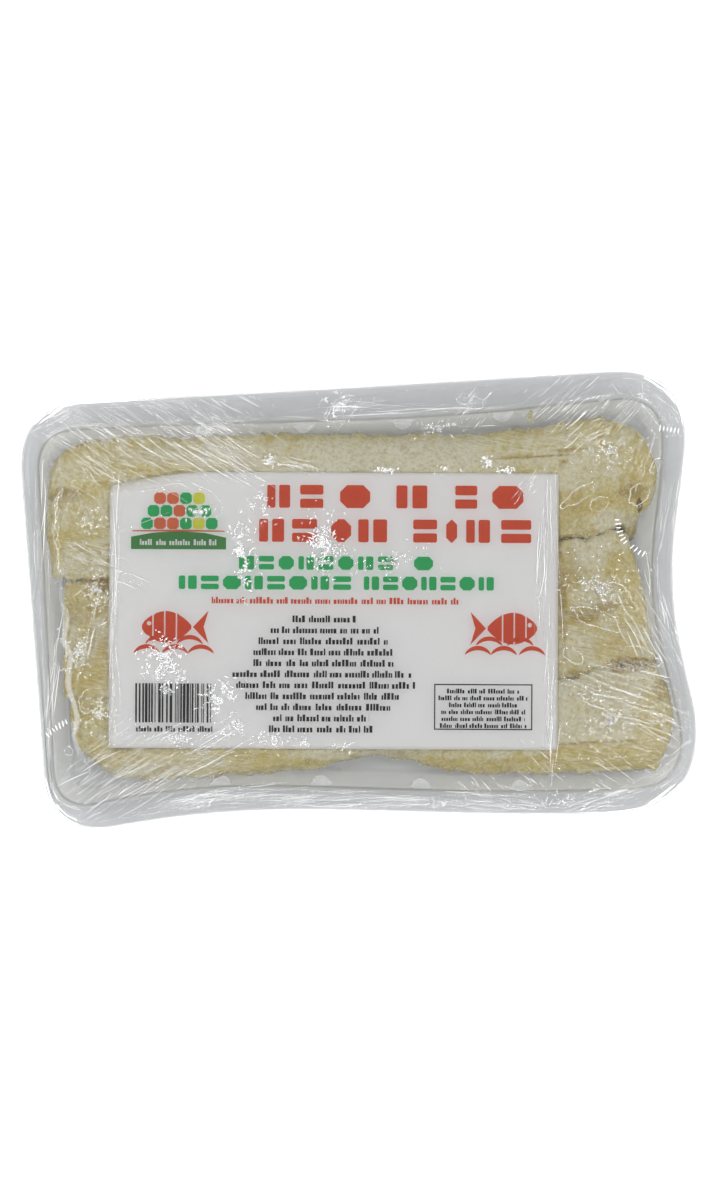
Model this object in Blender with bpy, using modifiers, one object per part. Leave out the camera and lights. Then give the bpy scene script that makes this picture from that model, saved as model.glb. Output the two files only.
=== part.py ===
"""A wrapped tray of salt fish: three dried fillets side by side in a clear thermoformed tray, a paper
label on top of them, and stretch film round the whole pack. It stands on z = 0 with its origin under
the middle of the pack; X runs along the fillets and +Y to the far side. The film is tight enough to
have pulled the thin tray out of square, so the outlines have a pull for each side."""

import math

import bmesh
import bpy
from mathutils import Vector, noise

# Every length below is in millimetres, and MM turns it to Blender's metres.
MM = 0.001

# Outlines run from the near left corner to the near right, far right and far left one. Each side has
# how far the film draws it in, and a lean: under 1 the deepest point is nearer the side's first corner.
RIM_CORNERS = [(-110.3, -73.9), (114.1, -75.8), (114.1, 75.3), (-114.3, 73.1)]
RIM_RADII = [22.0, 34.0, 26.0, 24.0]
RIM_PULLS = [(6.0, 0.6), (8.1, 1.0), (0.3, 1.0), (0.1, 1.0)]
MOUTH_CORNERS = [(-107.7, -65.7), (108.3, -67.7), (106.1, 66.9), (-107.9, 64.2)]
MOUTH_RADII = [15.0, 20.0, 15.0, 14.0]
MOUTH_PULLS = [(6.3, 0.53), (7.2, 1.0), (2.4, 1.0), (0.1, 1.0)]
CORNER_STEPS = 7
# The drawn-in film leaves the middle of its box here, which becomes the origin.
BOX_MIDDLE = (-0.486, -0.12)

# Tray
RIM_HEIGHT = 16.0
TRAY_WALL = 0.5
FLOOR_HEIGHT = 1.1
FLANGE_IN_FILM = 0.9
LIP_DROP = 2.6
LUG_PLACES = [-51.0, -17.0, 17.0, 51.0]
LUG_RADIUS = 3.4
LUG_STEPS = [-1.05, -0.8, 0.0, 0.8, 1.05]

# Film
FILM_THICKNESS = 0.3
FILM_TOP = 17.4
FILM_OVER_RIM = 16.6
FILM_TURN = 12.8
SEAM_SCALE = (0.55, 0.02)

# Label
LABEL_SIZE = (153.5, 94.0)
LABEL_CENTRE = (-9.3, -1.7)
LABEL_TURN = math.radians(-3.1)
LABEL_UNDERSIDE = 16.0
LABEL_PAPER = 0.25
LABEL_CELLS = (24, 14)
BEND_START = 53.2
BEND_NORMAL = (-0.208, 0.978)
BEND_RADIUS = 4.0

# Fillets
FILLET_CELLS = (56, 12)
FILLET_BOTTOM = 1.4
FILLET_CEILING = 15.6
UNDERCUT = 3.4
END_UNDERCUT = 8.0
FLAKE_LENGTH = 13.0
FLAKE_DEPTH = 0.9

FILLETS = {
    "fillet_far": {
        "near": [(-103, 17.5), (-94, 13.3), (-84, 13), (0, 15.8), (68, 18.9), (79, 19.2), (87, 22), (97, 27)],
        "far": [(-100, 52), (-87, 58), (-60, 59), (-20, 58.8), (30, 56), (60, 57), (85, 59), (95, 54.5)],
        "crest": [(0, 8), (0.1, 9), (0.2, 12.6), (0.3, 15.2), (0.7, 15.2), (1, 14.6)],
        "edges": (9.5, 6.0),
        "end_bulge": (2.6, 4.0),
        "splits": [((-104, 26), (-80, 23.5), 1.6), ((48, 47.5), (80, 49), 2.4), ((80, 49), (96, 55), 1.2)],
    },
    "fillet_middle": {
        "near": [(-103, -26), (-87, -27), (0, -28), (66, -28.2), (76, -25.4), (84, -24), (92, -23.4), (98.4, -25.2)],
        "far": [(-99.5, 11), (-92, 11.9), (-84, 11.8), (0, 14.6), (68, 17.7), (78, 17.5), (85, 18), (90, 14.6)],
        "crest": [(0, 9), (0.08, 11.5), (0.2, 14.6), (0.6, 15.2), (0.88, 13.4), (1, 13)],
        "edges": (9.0, 9.0),
        "end_bulge": (0.4, 0.4),
        "splits": [((-98, -6), (-70, -8), 1.4), ((70, 4), (88, -4), 1.6)],
    },
    "fillet_near": {
        "near": [(-96, -46), (-88, -53.4), (-78, -55.4), (-52, -56), (-20, -54.6), (2, -52), (14, -54.4),
                 (34, -59), (60, -60.4), (96, -61.4)],
        "far": [(-100, -28.6), (-87, -28.4), (0, -29.4), (66, -29.6), (76, -27.2), (84, -27.6), (92, -28.2), (98.4, -28.2)],
        "crest": [(0, 9), (0.1, 12.4), (0.3, 15.0), (0.7, 15.2), (0.9, 14.8), (1, 13.6)],
        "edges": (6.0, 9.5),
        "end_bulge": (1.2, 3.8),
        "splits": [((40, -50.6), (90, -51.4), 2.2)],
    },
}

# Colours are linear, from the photograph under its grey studio light.
CLEAR_PLASTIC = (0.78, 0.80, 0.80)
FILM_TINT = (0.88, 0.89, 0.90)
PAPER = (0.78, 0.79, 0.79)
SALTED_FLESH = (0.58, 0.52, 0.33)


def clear_scene():
    for obj in list(bpy.data.objects):
        bpy.data.objects.remove(obj)


def material(name, colour, roughness, alpha=1.0):
    made = bpy.data.materials.new(name)
    made.use_nodes = True
    shader = made.node_tree.nodes["Principled BSDF"]
    shader.inputs["Base Color"].default_value = (*colour, 1.0)
    shader.inputs["Roughness"].default_value = roughness
    shader.inputs["Metallic"].default_value = 0.0
    shader.inputs["Alpha"].default_value = alpha
    return made


def add_object(name, bm, collection, finish):
    """Turns a bmesh in millimetres into an object in metres."""
    bmesh.ops.translate(bm, vec=(-BOX_MIDDLE[0], -BOX_MIDDLE[1], 0), verts=bm.verts)
    bmesh.ops.scale(bm, vec=(MM, MM, MM), verts=bm.verts)
    mesh = bpy.data.meshes.new(name)
    bm.to_mesh(mesh)
    bm.free()
    mesh.materials.append(finish)
    obj = bpy.data.objects.new(name, mesh)
    collection.objects.link(obj)
    return obj


def add_wall(obj, thickness):
    """Gives an open surface its thickness, on the side its normals point away from."""
    wall = obj.modifiers.new("wall", "SOLIDIFY")
    wall.thickness = thickness * MM
    wall.offset = -1.0
    return wall


def side_point(first, last, t, pull):
    """A point t of the way along a side that the film draws inwards, left of its run."""
    depth, lean = pull
    along = (Vector(last) - Vector(first))
    inward = Vector((-along.y, along.x)).normalized()
    return Vector(first) + along * t + inward * depth * abs(math.sin(math.pi * t**lean)) ** 2.6


def outline(corners, radii, pulls, side_steps):
    """A rounded, pulled-in rectangle: for each side its points, then the bend to the next side."""
    points = []
    for i in range(4):
        first, last, after = corners[i], corners[(i + 1) % 4], corners[(i + 2) % 4]
        length = (Vector(last) - Vector(first)).length
        next_length = (Vector(after) - Vector(last)).length
        start, end = radii[i] / length, 1 - radii[(i + 1) % 4] / length
        for share in side_steps[i]:
            points.append(side_point(first, last, start + (end - start) * share, pulls[i]))
        leave = side_point(first, last, end, pulls[i])
        arrive = side_point(last, after, radii[(i + 1) % 4] / next_length, pulls[(i + 1) % 4])
        for step in range(1, CORNER_STEPS):
            t = step / CORNER_STEPS
            bend = leave * (1 - t) ** 2 + Vector(last) * 2 * t * (1 - t) + arrive * t**2
            points.append(bend)
    return points


def inset(points, distance):
    """Moves each point of a closed outline inwards, square to the outline there."""
    moved = []
    for i, point in enumerate(points):
        along = points[(i + 1) % len(points)] - points[i - 1]
        inward = Vector((-along.y, along.x)).normalized()
        reach = distance[i] if isinstance(distance, list) else distance
        moved.append(point + inward * reach)
    return moved


def loft(rings, fill_first):
    """Bridges closed rings of equally many points, each a list of (x, y, z), from the first to the last."""
    bm = bmesh.new()
    loops = []
    for ring in rings:
        verts = [bm.verts.new(point) for point in ring]
        edges = [bm.edges.new((verts[i - 1], verts[i])) for i in range(len(verts))]
        loops.append((verts, edges))
    if fill_first:
        bm.faces.new(loops[0][0])
    for (lower, _), (upper, _) in zip(loops, loops[1:]):
        count = len(lower)
        for i in range(count):
            j = (i + 1) % count
            bm.faces.new((lower[j], lower[i], upper[i], upper[j]))
    return bm


def at_height(points, z):
    return [(p.x, p.y, z) for p in points]


def lug_reach(point):
    """How far a stacking lug stands in from the mouth at this point of a long side."""
    for place in LUG_PLACES:
        aside = abs(point.x - place)
        if aside < LUG_RADIUS:
            return math.sqrt(LUG_RADIUS**2 - aside**2)
    return 0.0


def long_side_steps(first, last, radii):
    """Shares along a long side that put points at the middle and edges of each lug, and between lugs."""
    start, end = first + math.copysign(radii[0], last - first), last - math.copysign(radii[1], last - first)
    places = [place + step * LUG_RADIUS for place in LUG_PLACES for step in LUG_STEPS]
    places += [-84.0, -70.0, -34.0, 0.0, 34.0, 70.0]
    return sorted((place - start) / (end - start) for place in places) + [1.0]


def make_tray(collection, finish):
    near_left, near_right, far_right, far_left = MOUTH_CORNERS
    steps = [
        long_side_steps(near_left[0], near_right[0], (MOUTH_RADII[0], MOUTH_RADII[1])),
        [0.0, 0.25, 0.5, 0.75, 1.0],
        long_side_steps(far_right[0], far_left[0], (MOUTH_RADII[2], MOUTH_RADII[3])),
        [0.0, 0.5, 1.0],
    ]
    mouth = outline(MOUTH_CORNERS, MOUTH_RADII, MOUTH_PULLS, steps)
    flange = inset(outline(RIM_CORNERS, RIM_RADII, RIM_PULLS, steps), FLANGE_IN_FILM)
    middle = [(a + b) / 2 for a, b in zip(mouth, flange)]
    lugs = [lug_reach(point) for point in mouth]

    def wall_ring(depth, z):
        return at_height(inset(mouth, [max(depth, lug) for lug in lugs]), z)

    rings = [
        at_height(inset(mouth, 6.2), FLOOR_HEIGHT),
        at_height(inset(mouth, 4.6), FLOOR_HEIGHT + 0.4),
        wall_ring(3.6, 2.6),
        wall_ring(0.7, RIM_HEIGHT - 2.2),
        at_height(inset(mouth, 0.3), RIM_HEIGHT - 1.4),
        at_height(mouth, RIM_HEIGHT - 0.3),
        at_height(middle, RIM_HEIGHT),
        at_height(flange, RIM_HEIGHT - 0.4),
        at_height(inset(flange, -0.15), RIM_HEIGHT - LIP_DROP),
    ]
    tray = add_object("tray", loft(rings, fill_first=True), collection, finish)
    add_wall(tray, TRAY_WALL)
    return tray


def make_film(collection, finish):
    steps = [
        [0.0, 0.12, 0.25, 0.4, 0.6, 0.8, 1.0],
        [0.0, 0.25, 0.5, 0.75, 1.0],
        [0.0, 0.25, 0.5, 0.75, 1.0],
        [0.0, 0.5, 1.0],
    ]
    rim = outline(RIM_CORNERS, RIM_RADII, RIM_PULLS, steps)
    foot = inset(outline(MOUTH_CORNERS, MOUTH_RADII, MOUTH_PULLS, steps), 4.2)
    above_foot = inset(foot, -1.0)
    seam = [Vector((p.x * SEAM_SCALE[0], p.y * SEAM_SCALE[1])) for p in foot]
    rings = [
        at_height([p * 0.72 for p in rim], FILM_TOP),
        at_height([p * 0.88 for p in rim], FILM_TOP - 0.2),
        at_height(inset(rim, 4.0), FILM_OVER_RIM + 0.2),
        at_height(inset(rim, 1.0), FILM_OVER_RIM),
        at_height(inset(rim, 0.25), FILM_OVER_RIM - 0.3),
        at_height(rim, FILM_OVER_RIM - 0.9),
        at_height(rim, FILM_TURN),
        at_height(above_foot, 1.0),
        at_height(foot, 0.0),
        at_height(seam, 0.0),
    ]
    film = add_object("film", loft(rings, fill_first=True), collection, finish)
    add_wall(film, FILM_THICKNESS)
    return film


def past_bend(u, v):
    """How far a point of the flat label is beyond the line where its far left corner starts to bend."""
    return max(0.0, u * BEND_NORMAL[0] + v * BEND_NORMAL[1] - BEND_START)


def bend(past):
    """Reach and drop round the bend's cylinder, then straight down once the paper is upright."""
    angle = min(past / BEND_RADIUS, math.pi / 2)
    hang = past - angle * BEND_RADIUS
    return BEND_RADIUS * math.sin(angle), BEND_RADIUS * (1 - math.cos(angle)) + hang


def label_point(u, v):
    """A point of the label's underside, from its own width and height to the pack."""
    z = LABEL_UNDERSIDE + 0.15 * noise.noise(Vector((u * 0.03, v * 0.04, 2.0)))
    past = past_bend(u, v)
    reach, drop = bend(past)
    u += BEND_NORMAL[0] * (reach - past)
    v += BEND_NORMAL[1] * (reach - past)
    x = LABEL_CENTRE[0] + u * math.cos(LABEL_TURN) - v * math.sin(LABEL_TURN)
    y = LABEL_CENTRE[1] + u * math.sin(LABEL_TURN) + v * math.cos(LABEL_TURN)
    return x, y, z - drop


def fillet_ceiling(x, y):
    """The height that the flesh may reach: level under the label, and sunk under its bent corner."""
    x, y = x - LABEL_CENTRE[0], y - LABEL_CENTRE[1]
    u = x * math.cos(LABEL_TURN) + y * math.sin(LABEL_TURN)
    v = y * math.cos(LABEL_TURN) - x * math.sin(LABEL_TURN)
    deepest = bend(past_bend(u, LABEL_SIZE[1] / 2))[1] + 1.4
    return FILLET_CEILING - min(2.2 * past_bend(u, v), deepest)


def make_label(collection, finish):
    bm = bmesh.new()
    bmesh.ops.create_grid(bm, x_segments=LABEL_CELLS[0], y_segments=LABEL_CELLS[1], size=0.5)
    for vert in bm.verts:
        vert.co = label_point(vert.co.x * LABEL_SIZE[0], vert.co.y * LABEL_SIZE[1])
    label = add_object("label", bm, collection, finish)
    add_wall(label, LABEL_PAPER).offset = 1.0
    return label


def smooth_through(points, t):
    """A Catmull-Rom curve through the points, with t from 0 to 1 over its whole run."""
    place = t * (len(points) - 1)
    i = min(int(place), len(points) - 2)
    f = place - i
    before, first, last, after = (
        Vector(points[max(0, min(len(points) - 1, k))]) for k in (i - 1, i, i + 1, i + 2)
    )
    return 0.5 * (
        2 * first
        + (last - before) * f
        + (2 * before - 5 * first + 4 * last - after) * f**2
        + (3 * first - before - 3 * last + after) * f**3
    )


def level_between(levels, t):
    """Straight-line interpolation in a list of (place, level)."""
    for (place, level), (next_place, next_level) in zip(levels, levels[1:]):
        if t <= next_place:
            return level + (next_level - level) * (t - place) / (next_place - place)
    return levels[-1][1]


def split_depth(splits, x, y):
    """Depth of the lengthwise splits in the flesh at a point."""
    depth = 0.0
    for start, end, deep in splits:
        along = Vector(end) - Vector(start)
        share = max(0.0, min(1.0, (Vector((x, y)) - Vector(start)).dot(along) / along.length_squared))
        away = (Vector((x, y)) - Vector(start) - along * share).length
        depth = max(depth, deep * math.exp(-((away / 1.6) ** 2)))
    return depth


def flake_step(place, t):
    """The flakes of the flesh: chevrons that point left, each a slow rise and a quick fall."""
    run = place.x / FLAKE_LENGTH + 0.9 * abs(2 * t - 1) + noise.noise(Vector((place.x * 0.05, place.y * 0.08, 3.0)))
    return FLAKE_DEPTH * (run % 1.0) ** 3


def fillet_point(form, s, t):
    """A point of a fillet's upper side: s runs left to right and t from its near to its far edge."""
    near, far = smooth_through(form["near"], s), smooth_through(form["far"], s)
    place = near.lerp(far, t)
    across = 1 - (2 * t - 1) ** 2
    left_bulge, right_bulge = form["end_bulge"]
    place.x += across * (right_bulge * s**8 - left_bulge * (1 - s) ** 8)
    edge = form["edges"][0] * (1 - t) + form["edges"][1] * t
    crest = level_between(form["crest"], s)
    loaf = (1 - abs(2 * t - 1) ** 2.6) ** 0.7
    ends = (1 - abs(2 * s - 1) ** 22) ** 0.6
    height = edge + (crest - edge) * loaf * ends - 1.6 * (1 - ends)
    crags = 1.1 * noise.noise(Vector((place.x * 0.07, place.y * 0.16, 5.0)))
    crumbs = 0.7 * noise.noise(Vector((place.x * 0.3, place.y * 0.34, 9.0)))
    height += crags + crumbs - flake_step(place, t) - split_depth(form["splits"], place.x, place.y)
    return place.x, place.y, min(height, fillet_ceiling(place.x, place.y))


def make_fillet(name, form, collection, finish):
    bm = bmesh.new()
    bmesh.ops.create_grid(bm, x_segments=FILLET_CELLS[0], y_segments=FILLET_CELLS[1], size=0.5)
    for vert in bm.verts:
        vert.co = fillet_point(form, vert.co.x + 0.5, vert.co.y + 0.5)
    rim_edges = [edge for edge in bm.edges if edge.is_boundary]
    skirt = bmesh.ops.extrude_edge_only(bm, edges=rim_edges)["geom"]
    foot = [item for item in skirt if isinstance(item, bmesh.types.BMVert)]
    foot_edges = [item for item in skirt if isinstance(item, bmesh.types.BMEdge)]
    ends = [smooth_through(form["near"], s).lerp(smooth_through(form["far"], s), 0.5) for s in (0, 1)]
    for vert in foot:
        share = max(0.0, min(1.0, (vert.co.x - ends[0].x) / (ends[1].x - ends[0].x)))
        middle = smooth_through(form["near"], share).lerp(smooth_through(form["far"], share), 0.5)
        endward = (2 * share - 1) ** 11
        vert.co.x -= endward * END_UNDERCUT
        vert.co.y += math.copysign(UNDERCUT, middle.y - vert.co.y) * (1 + 0.9 * endward**2)
        vert.co.z = FILLET_BOTTOM
    bmesh.ops.contextual_create(bm, geom=foot_edges)
    bmesh.ops.recalc_face_normals(bm, faces=bm.faces)
    return add_object(name, bm, collection, finish)


def main():
    clear_scene()
    pack = bpy.data.collections.new("salt_fish_pack")
    bpy.context.scene.collection.children.link(pack)
    make_tray(pack, material("clear_tray_plastic", CLEAR_PLASTIC, 0.12, alpha=0.35))
    flesh = material("salted_flesh", SALTED_FLESH, 0.75)
    for name, form in FILLETS.items():
        make_fillet(name, form, pack, flesh)
    make_label(pack, material("label_paper", PAPER, 0.6))
    make_film(pack, material("stretch_film", FILM_TINT, 0.08, alpha=0.2))


main()
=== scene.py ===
"""The look of a wrapped tray of salt fish: fibrous salted flesh, a thin clear tray, a printed paper label,
and stretch film with its pulled creases. Shapes are worked out in millimetres on a sheet that has X along
the fillets and Y to the far side, then moved and scaled to the row frame when a mesh is made."""

import math
import random

import bmesh
import bpy
import numpy as np
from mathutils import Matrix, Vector, kdtree


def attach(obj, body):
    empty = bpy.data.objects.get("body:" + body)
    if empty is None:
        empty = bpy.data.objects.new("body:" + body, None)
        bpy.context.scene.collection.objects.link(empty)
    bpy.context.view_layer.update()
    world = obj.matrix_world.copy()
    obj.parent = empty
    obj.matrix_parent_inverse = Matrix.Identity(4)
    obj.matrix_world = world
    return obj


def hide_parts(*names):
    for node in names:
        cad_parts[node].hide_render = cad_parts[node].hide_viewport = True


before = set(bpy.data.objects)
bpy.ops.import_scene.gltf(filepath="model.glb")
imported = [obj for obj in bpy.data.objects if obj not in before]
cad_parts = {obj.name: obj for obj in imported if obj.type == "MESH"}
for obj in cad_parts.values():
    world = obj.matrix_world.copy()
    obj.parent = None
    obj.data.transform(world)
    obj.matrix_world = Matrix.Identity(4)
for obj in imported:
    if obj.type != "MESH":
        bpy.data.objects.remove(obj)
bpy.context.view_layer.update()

MM = 0.001
# The sheet's point that lies under the middle of the pack's box.
BOX_MIDDLE = (-0.486, -0.12)

# Outlines run near left, near right, far right, far left, with a pull (depth, lean) for each side.
RIM_CORNERS = [(-110.3, -73.9), (114.1, -75.8), (114.1, 75.3), (-114.3, 73.1)]
RIM_RADII = [22.0, 34.0, 26.0, 24.0]
RIM_PULLS = [(6.0, 0.6), (8.1, 1.0), (0.3, 1.0), (0.1, 1.0)]
MOUTH_CORNERS = [(-107.7, -65.7), (107.6, -67.7), (105.2, 65.9), (-107.9, 64.0)]
MOUTH_RADII = [15.0, 20.0, 15.0, 14.0]
MOUTH_PULLS = [(6.3, 0.53), (7.2, 1.0), (2.4, 0.72), (0.1, 1.0)]

RIM_HEIGHT = 16.0
FLANGE_IN_FILM = 0.35
LUG_PLACES = [-51.0, -17.0, 17.0, 51.0]
LUG_RADIUS = 3.4
TRAY_FLOOR = 1.1
FLOOR_INSET = 6.8
FILM_OVER_RIM = 16.55
FILM_DOME = 0.6
FILM_FOOT_INSET = 4.2

LABEL_SIZE = (152.6, 94.0)
LABEL_CENTRE = (-9.7, -1.8)
LABEL_TURN = math.radians(-3.1)
LABEL_UNDERSIDE = 16.0
BEND_START = 53.2
BEND_NORMAL = (-0.208, 0.978)
BEND_RADIUS = 4.0

FILLET_BOTTOM = 1.4
UNDERCUT = 3.4
# A fillet's points: stations along it, then columns over its top, down each wall and across its bottom.
STATIONS = 420
TOP_COLUMNS, SIDE_COLUMNS, BOTTOM_COLUMNS = 92, 8, 16
# Each fillet by its near and far edge, how high its crest is along it, its height at both edges, how far its
# ends bulge, a lobe that reaches out low at the near side (middle, half width, reach), splits (start, end,
# depth), fibrous patches (middle, half sizes) and its own seed.
FILLETS = {
    "fillet_far": {
        "near": [(-104.6, 14.4), (-95, 13.2), (-84, 12.7), (0, 15.5), (68, 18.6), (79, 19.0), (87, 22),
                 (97.5, 27)],
        "far": [(-102.5, 54), (-88, 61), (-60, 60.2), (-20, 59.2), (30, 56.6), (60, 57.6), (85, 59.6),
                (96.5, 54.5)],
        "crest": [(0, 11), (0.1, 12), (0.2, 13.6), (0.3, 15.2), (0.7, 15.2), (1, 14.6)],
        "edges": (13.2, 7.0),
        "end_bulge": (2.6, 5.6),
        "lobe": (93.5, 3.6, 7.5),
        "splits": [((-101, 28.4), (-86, 25.7), 0.7), ((-98, 22.8), (-85, 20.8), 0.6),
                   ((50, 47.5), (80, 49), 1.1), ((80, 49), (94, 54), 0.5)],
        "fibres": [(-90, 22, 16, 10), (-60, 50, 40, 9), (60, 54, 30, 5)],
        "seed": 11,
    },
    "fillet_middle": {
        "near": [(-103, -26.2), (-87, -27.6), (0, -28.4), (66, -28.7), (76, -26.5), (84, -25.5), (92, -25.0),
                 (99, -25.9)],
        "far": [(-100.6, 12.6), (-92, 12.4), (-84, 12.1), (0, 14.9), (68, 18.1), (78, 18.0), (86, 20.9),
                (91, 19.4)],
        "crest": [(0, 11.5), (0.08, 12.5), (0.2, 14.6), (0.6, 15.2), (0.88, 14.2), (1, 13.6)],
        "edges": (13.4, 13.2),
        "end_bulge": (1.0, 1.4),
        "lobe": (0, 1, 0),
        "splits": [((-98, -6), (-76, -7.5), 0.9), ((70, 4), (86, -3), 0.8)],
        "fibres": [(-88, -14, 14, 14), (82, -10, 16, 14)],
        "seed": 23,
    },
    "fillet_near": {
        "near": [(-98, -46), (-88, -54.2), (-78, -56.2), (-52, -56.6), (-20, -55), (2, -52), (14, -54.6),
                 (34, -59.4), (60, -61), (97.5, -61.8)],
        "far": [(-100, -26.8), (-87, -27.6), (0, -29), (66, -29.2), (76, -26.8), (84, -26.1), (92, -25.7),
                (98.8, -26.5)],
        "crest": [(0, 11), (0.1, 12.6), (0.3, 15.0), (0.7, 15.2), (0.9, 14.8), (1, 14)],
        "edges": (7.0, 13.4),
        "end_bulge": (2.4, 6.0),
        "lobe": (0, 1, 0),
        "splits": [((44, -50.6), (90, -51.6), 1.1)],
        "fibres": [(-70, -50, 40, 6), (82, -56, 26, 6)],
        "seed": 37,
    },
}

# Patches of colour on the flesh: tone, middle, half sizes and strength. Most are the flesh's own stains; the
# marks noted below along the gaps, the splits and the label's edge are painted shade.
STAINS = {
    "fillet_far": [
        ("yellow", -92, 57, 8.8, 2.4, 0.8), ("yellow", -69, 58, 10.2, 2.0, 0.7),
        ("yellow", -52, 58, 8.2, 2.0, 0.4), ("yellow", -27, 58, 10.2, 2.0, 0.6),
        ("yellow", -1, 56, 13.6, 1.7, 0.5), ("yellow", 26, 54, 13.6, 1.7, 0.6),
        ("yellow", 57, 56, 13.6, 1.7, 0.6), ("yellow", 84, 57, 7.5, 2.0, 0.9),
        ("salt", 2, 49, 34.0, 3.6, 0.8), ("salt", -59, 54, 13.6, 2.7, 0.5),
        # The thin brown lines at 60 here and at 74 and 53 on the next line follow the split: painted shade in
        # the crack.
        ("salt", 39, 46, 20.4, 2.0, 0.5), ("brown", 60, 47.2, 11.6, 0.12, 0.8),
        ("brown", 74, 49, 4.8, 0.2, 0.6), ("brown", 53, 47.4, 2.7, 0.3, 0.6),
        ("yellow", 99, 43, 3.4, 4.8, 0.8), ("yellow", 83, 30, 13.6, 3.4, 0.7),
        ("yellow", 76, 29, 6.1, 1.7, 0.8), ("brown", 94, 34, 4.1, 1.7, 0.5),
        ("salt", 80, 42, 8.2, 3.4, 0.5), ("salt", 86, 24, 6.1, 2.4, 0.9),
        ("yellow", 70, 26, 2.7, 2.7, 0.6), ("brown", 71, 45, 0.6, 0.3, 0.6),
        ("brown", -99, 42, 4.1, 2.0, 0.6), ("salt", -96, 37, 8.2, 3.4, 0.3),
        ("salt", -90, 50, 10.2, 2.7, 0.25), ("brown", -93, 24, 8.8, 0.1, 0.4),
        ("yellow", -95, 29, 8.8, 2.0, 0.6), ("salt", -92, 19, 8.8, 2.7, 0.7),
        # The two brown lines here and the two dark marks below lie along the near edge of this fillet, by the
        # gap: painted shade.
        ("brown", -90, 12.6, 8, 0.5, 0.9), ("brown", 73, 19, 5.5, 0.6, 0.8),
        ("dark", 71, 18.8, 1.6, 0.3, 0.9),
        ("dark", 96, 29, 0.7, 1.7, 0.8), ("salt", -10, 53.5, 44.0, 2.4, 0.5),
    ],
    "fillet_middle": [
        ("brown", -90, 11, 4.1, 2.0, 0.8), ("yellow", -96, 9, 3.4, 2.7, 0.7),
        ("brown", -94, 2, 6.8, 2.7, 0.25), ("yellow", -92, -15, 4.8, 6.1, 0.6),
        ("brown", -90, -8, 2.7, 3.4, 0.25), ("salt", -95, -11, 2.7, 4.1, 0.4),
        ("yellow", -97, -22, 6.8, 3.4, 0.8), ("salt", -89, -4, 2.7, 2.7, 0.4),
        ("salt", 78, 14, 6.8, 4.1, 0.95), ("yellow", 70, 12, 2.7, 8.2, 0.6),
        ("brown", 73, 6, 3.4, 3.4, 0.25), ("salt", 81, -1, 6.1, 5.4, 0.6),
        ("brown", 83, -5, 3.4, 1.4, 0.5), ("brown", 75, -8, 4.1, 1.7, 0.55),
        ("yellow", 90, 8, 4.8, 4.8, 0.8), ("yellow", 94, -3, 4.8, 5.4, 0.6),
        ("salt", 94, -17, 6.8, 3.4, 0.5), ("salt", 73, -16, 5.4, 4.1, 0.5),
        # The brown and dark marks at 90 here and at 88, 73 and 100 on the next two lines lie along the gap to
        # the near fillet: painted shade.
        ("yellow", 87, -19, 6.1, 2.7, 0.6), ("brown", 90, -24.8, 6.0, 1.6, 1),
        ("dark", 88, -25.0, 1.8, 0.6, 0.8),
        ("brown", 73, -27.0, 4.0, 0.5, 0.7), ("brown", 100, -25, 4.1, 1.7, 0.6),
        # A painted shadow of the label's right edge on the flesh.
        ("brown", 68.2, -3, 1.2, 14, 0.6),
    ],
    "fillet_near": [
        ("yellow", -96, -32, 4.1, 4.1, 0.8), ("yellow", -94, -46, 7.5, 3.4, 0.8),
        ("brown", -84, -45, 2.7, 1.0, 0.7), ("yellow", -75, -50, 13.6, 2.7, 0.5),
        ("salt", -75, -53, 10.2, 1.7, 0.5), ("yellow", -27, -52, 13.6, 2.0, 0.7),
        ("yellow", 24, -56, 8.8, 1.7, 0.9), ("yellow", -41, -49, 10.2, 1.7, 0.6),
        ("salt", -10, -50, 13.6, 1.4, 0.6), ("salt", 79, -38, 12.2, 8.8, 1),
        ("salt", 69, -46, 6.8, 4.8, 0.8), ("yellow", 97, -46, 4.8, 8.8, 0.6),
        ("yellow", 78, -56, 17.0, 3.1, 0.9), ("yellow", 95, -59, 6.1, 3.4, 0.8),
        # The two thin brown lines below follow the split: painted shade in the crack.
        ("brown", 73, -51, 9.5, 0.2, 0.6), ("brown", 86, -51, 5.4, 0.2, 0.5),
        # The brown and dark marks below lie along the gap to the middle fillet: painted shade.
        ("brown", 90, -26.4, 5.0, 0.9, 0.9), ("dark", 71, -28.6, 1.6, 0.4, 0.6),
        ("brown", 101, -34, 2.7, 3.4, 0.4), ("yellow", 51, -58, 13.6, 2.4, 0.8),
    ],
}
FLESH_TONES = {
    "cream": "#E1DBB2",
    "salt": "#E5E2CE",
    "yellow": "#D2C27D",
    "brown": "#A28845",
    # The dark tone is used only for painted shade in the gaps between the fillets.
    "dark": "#4E381A",
}

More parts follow.
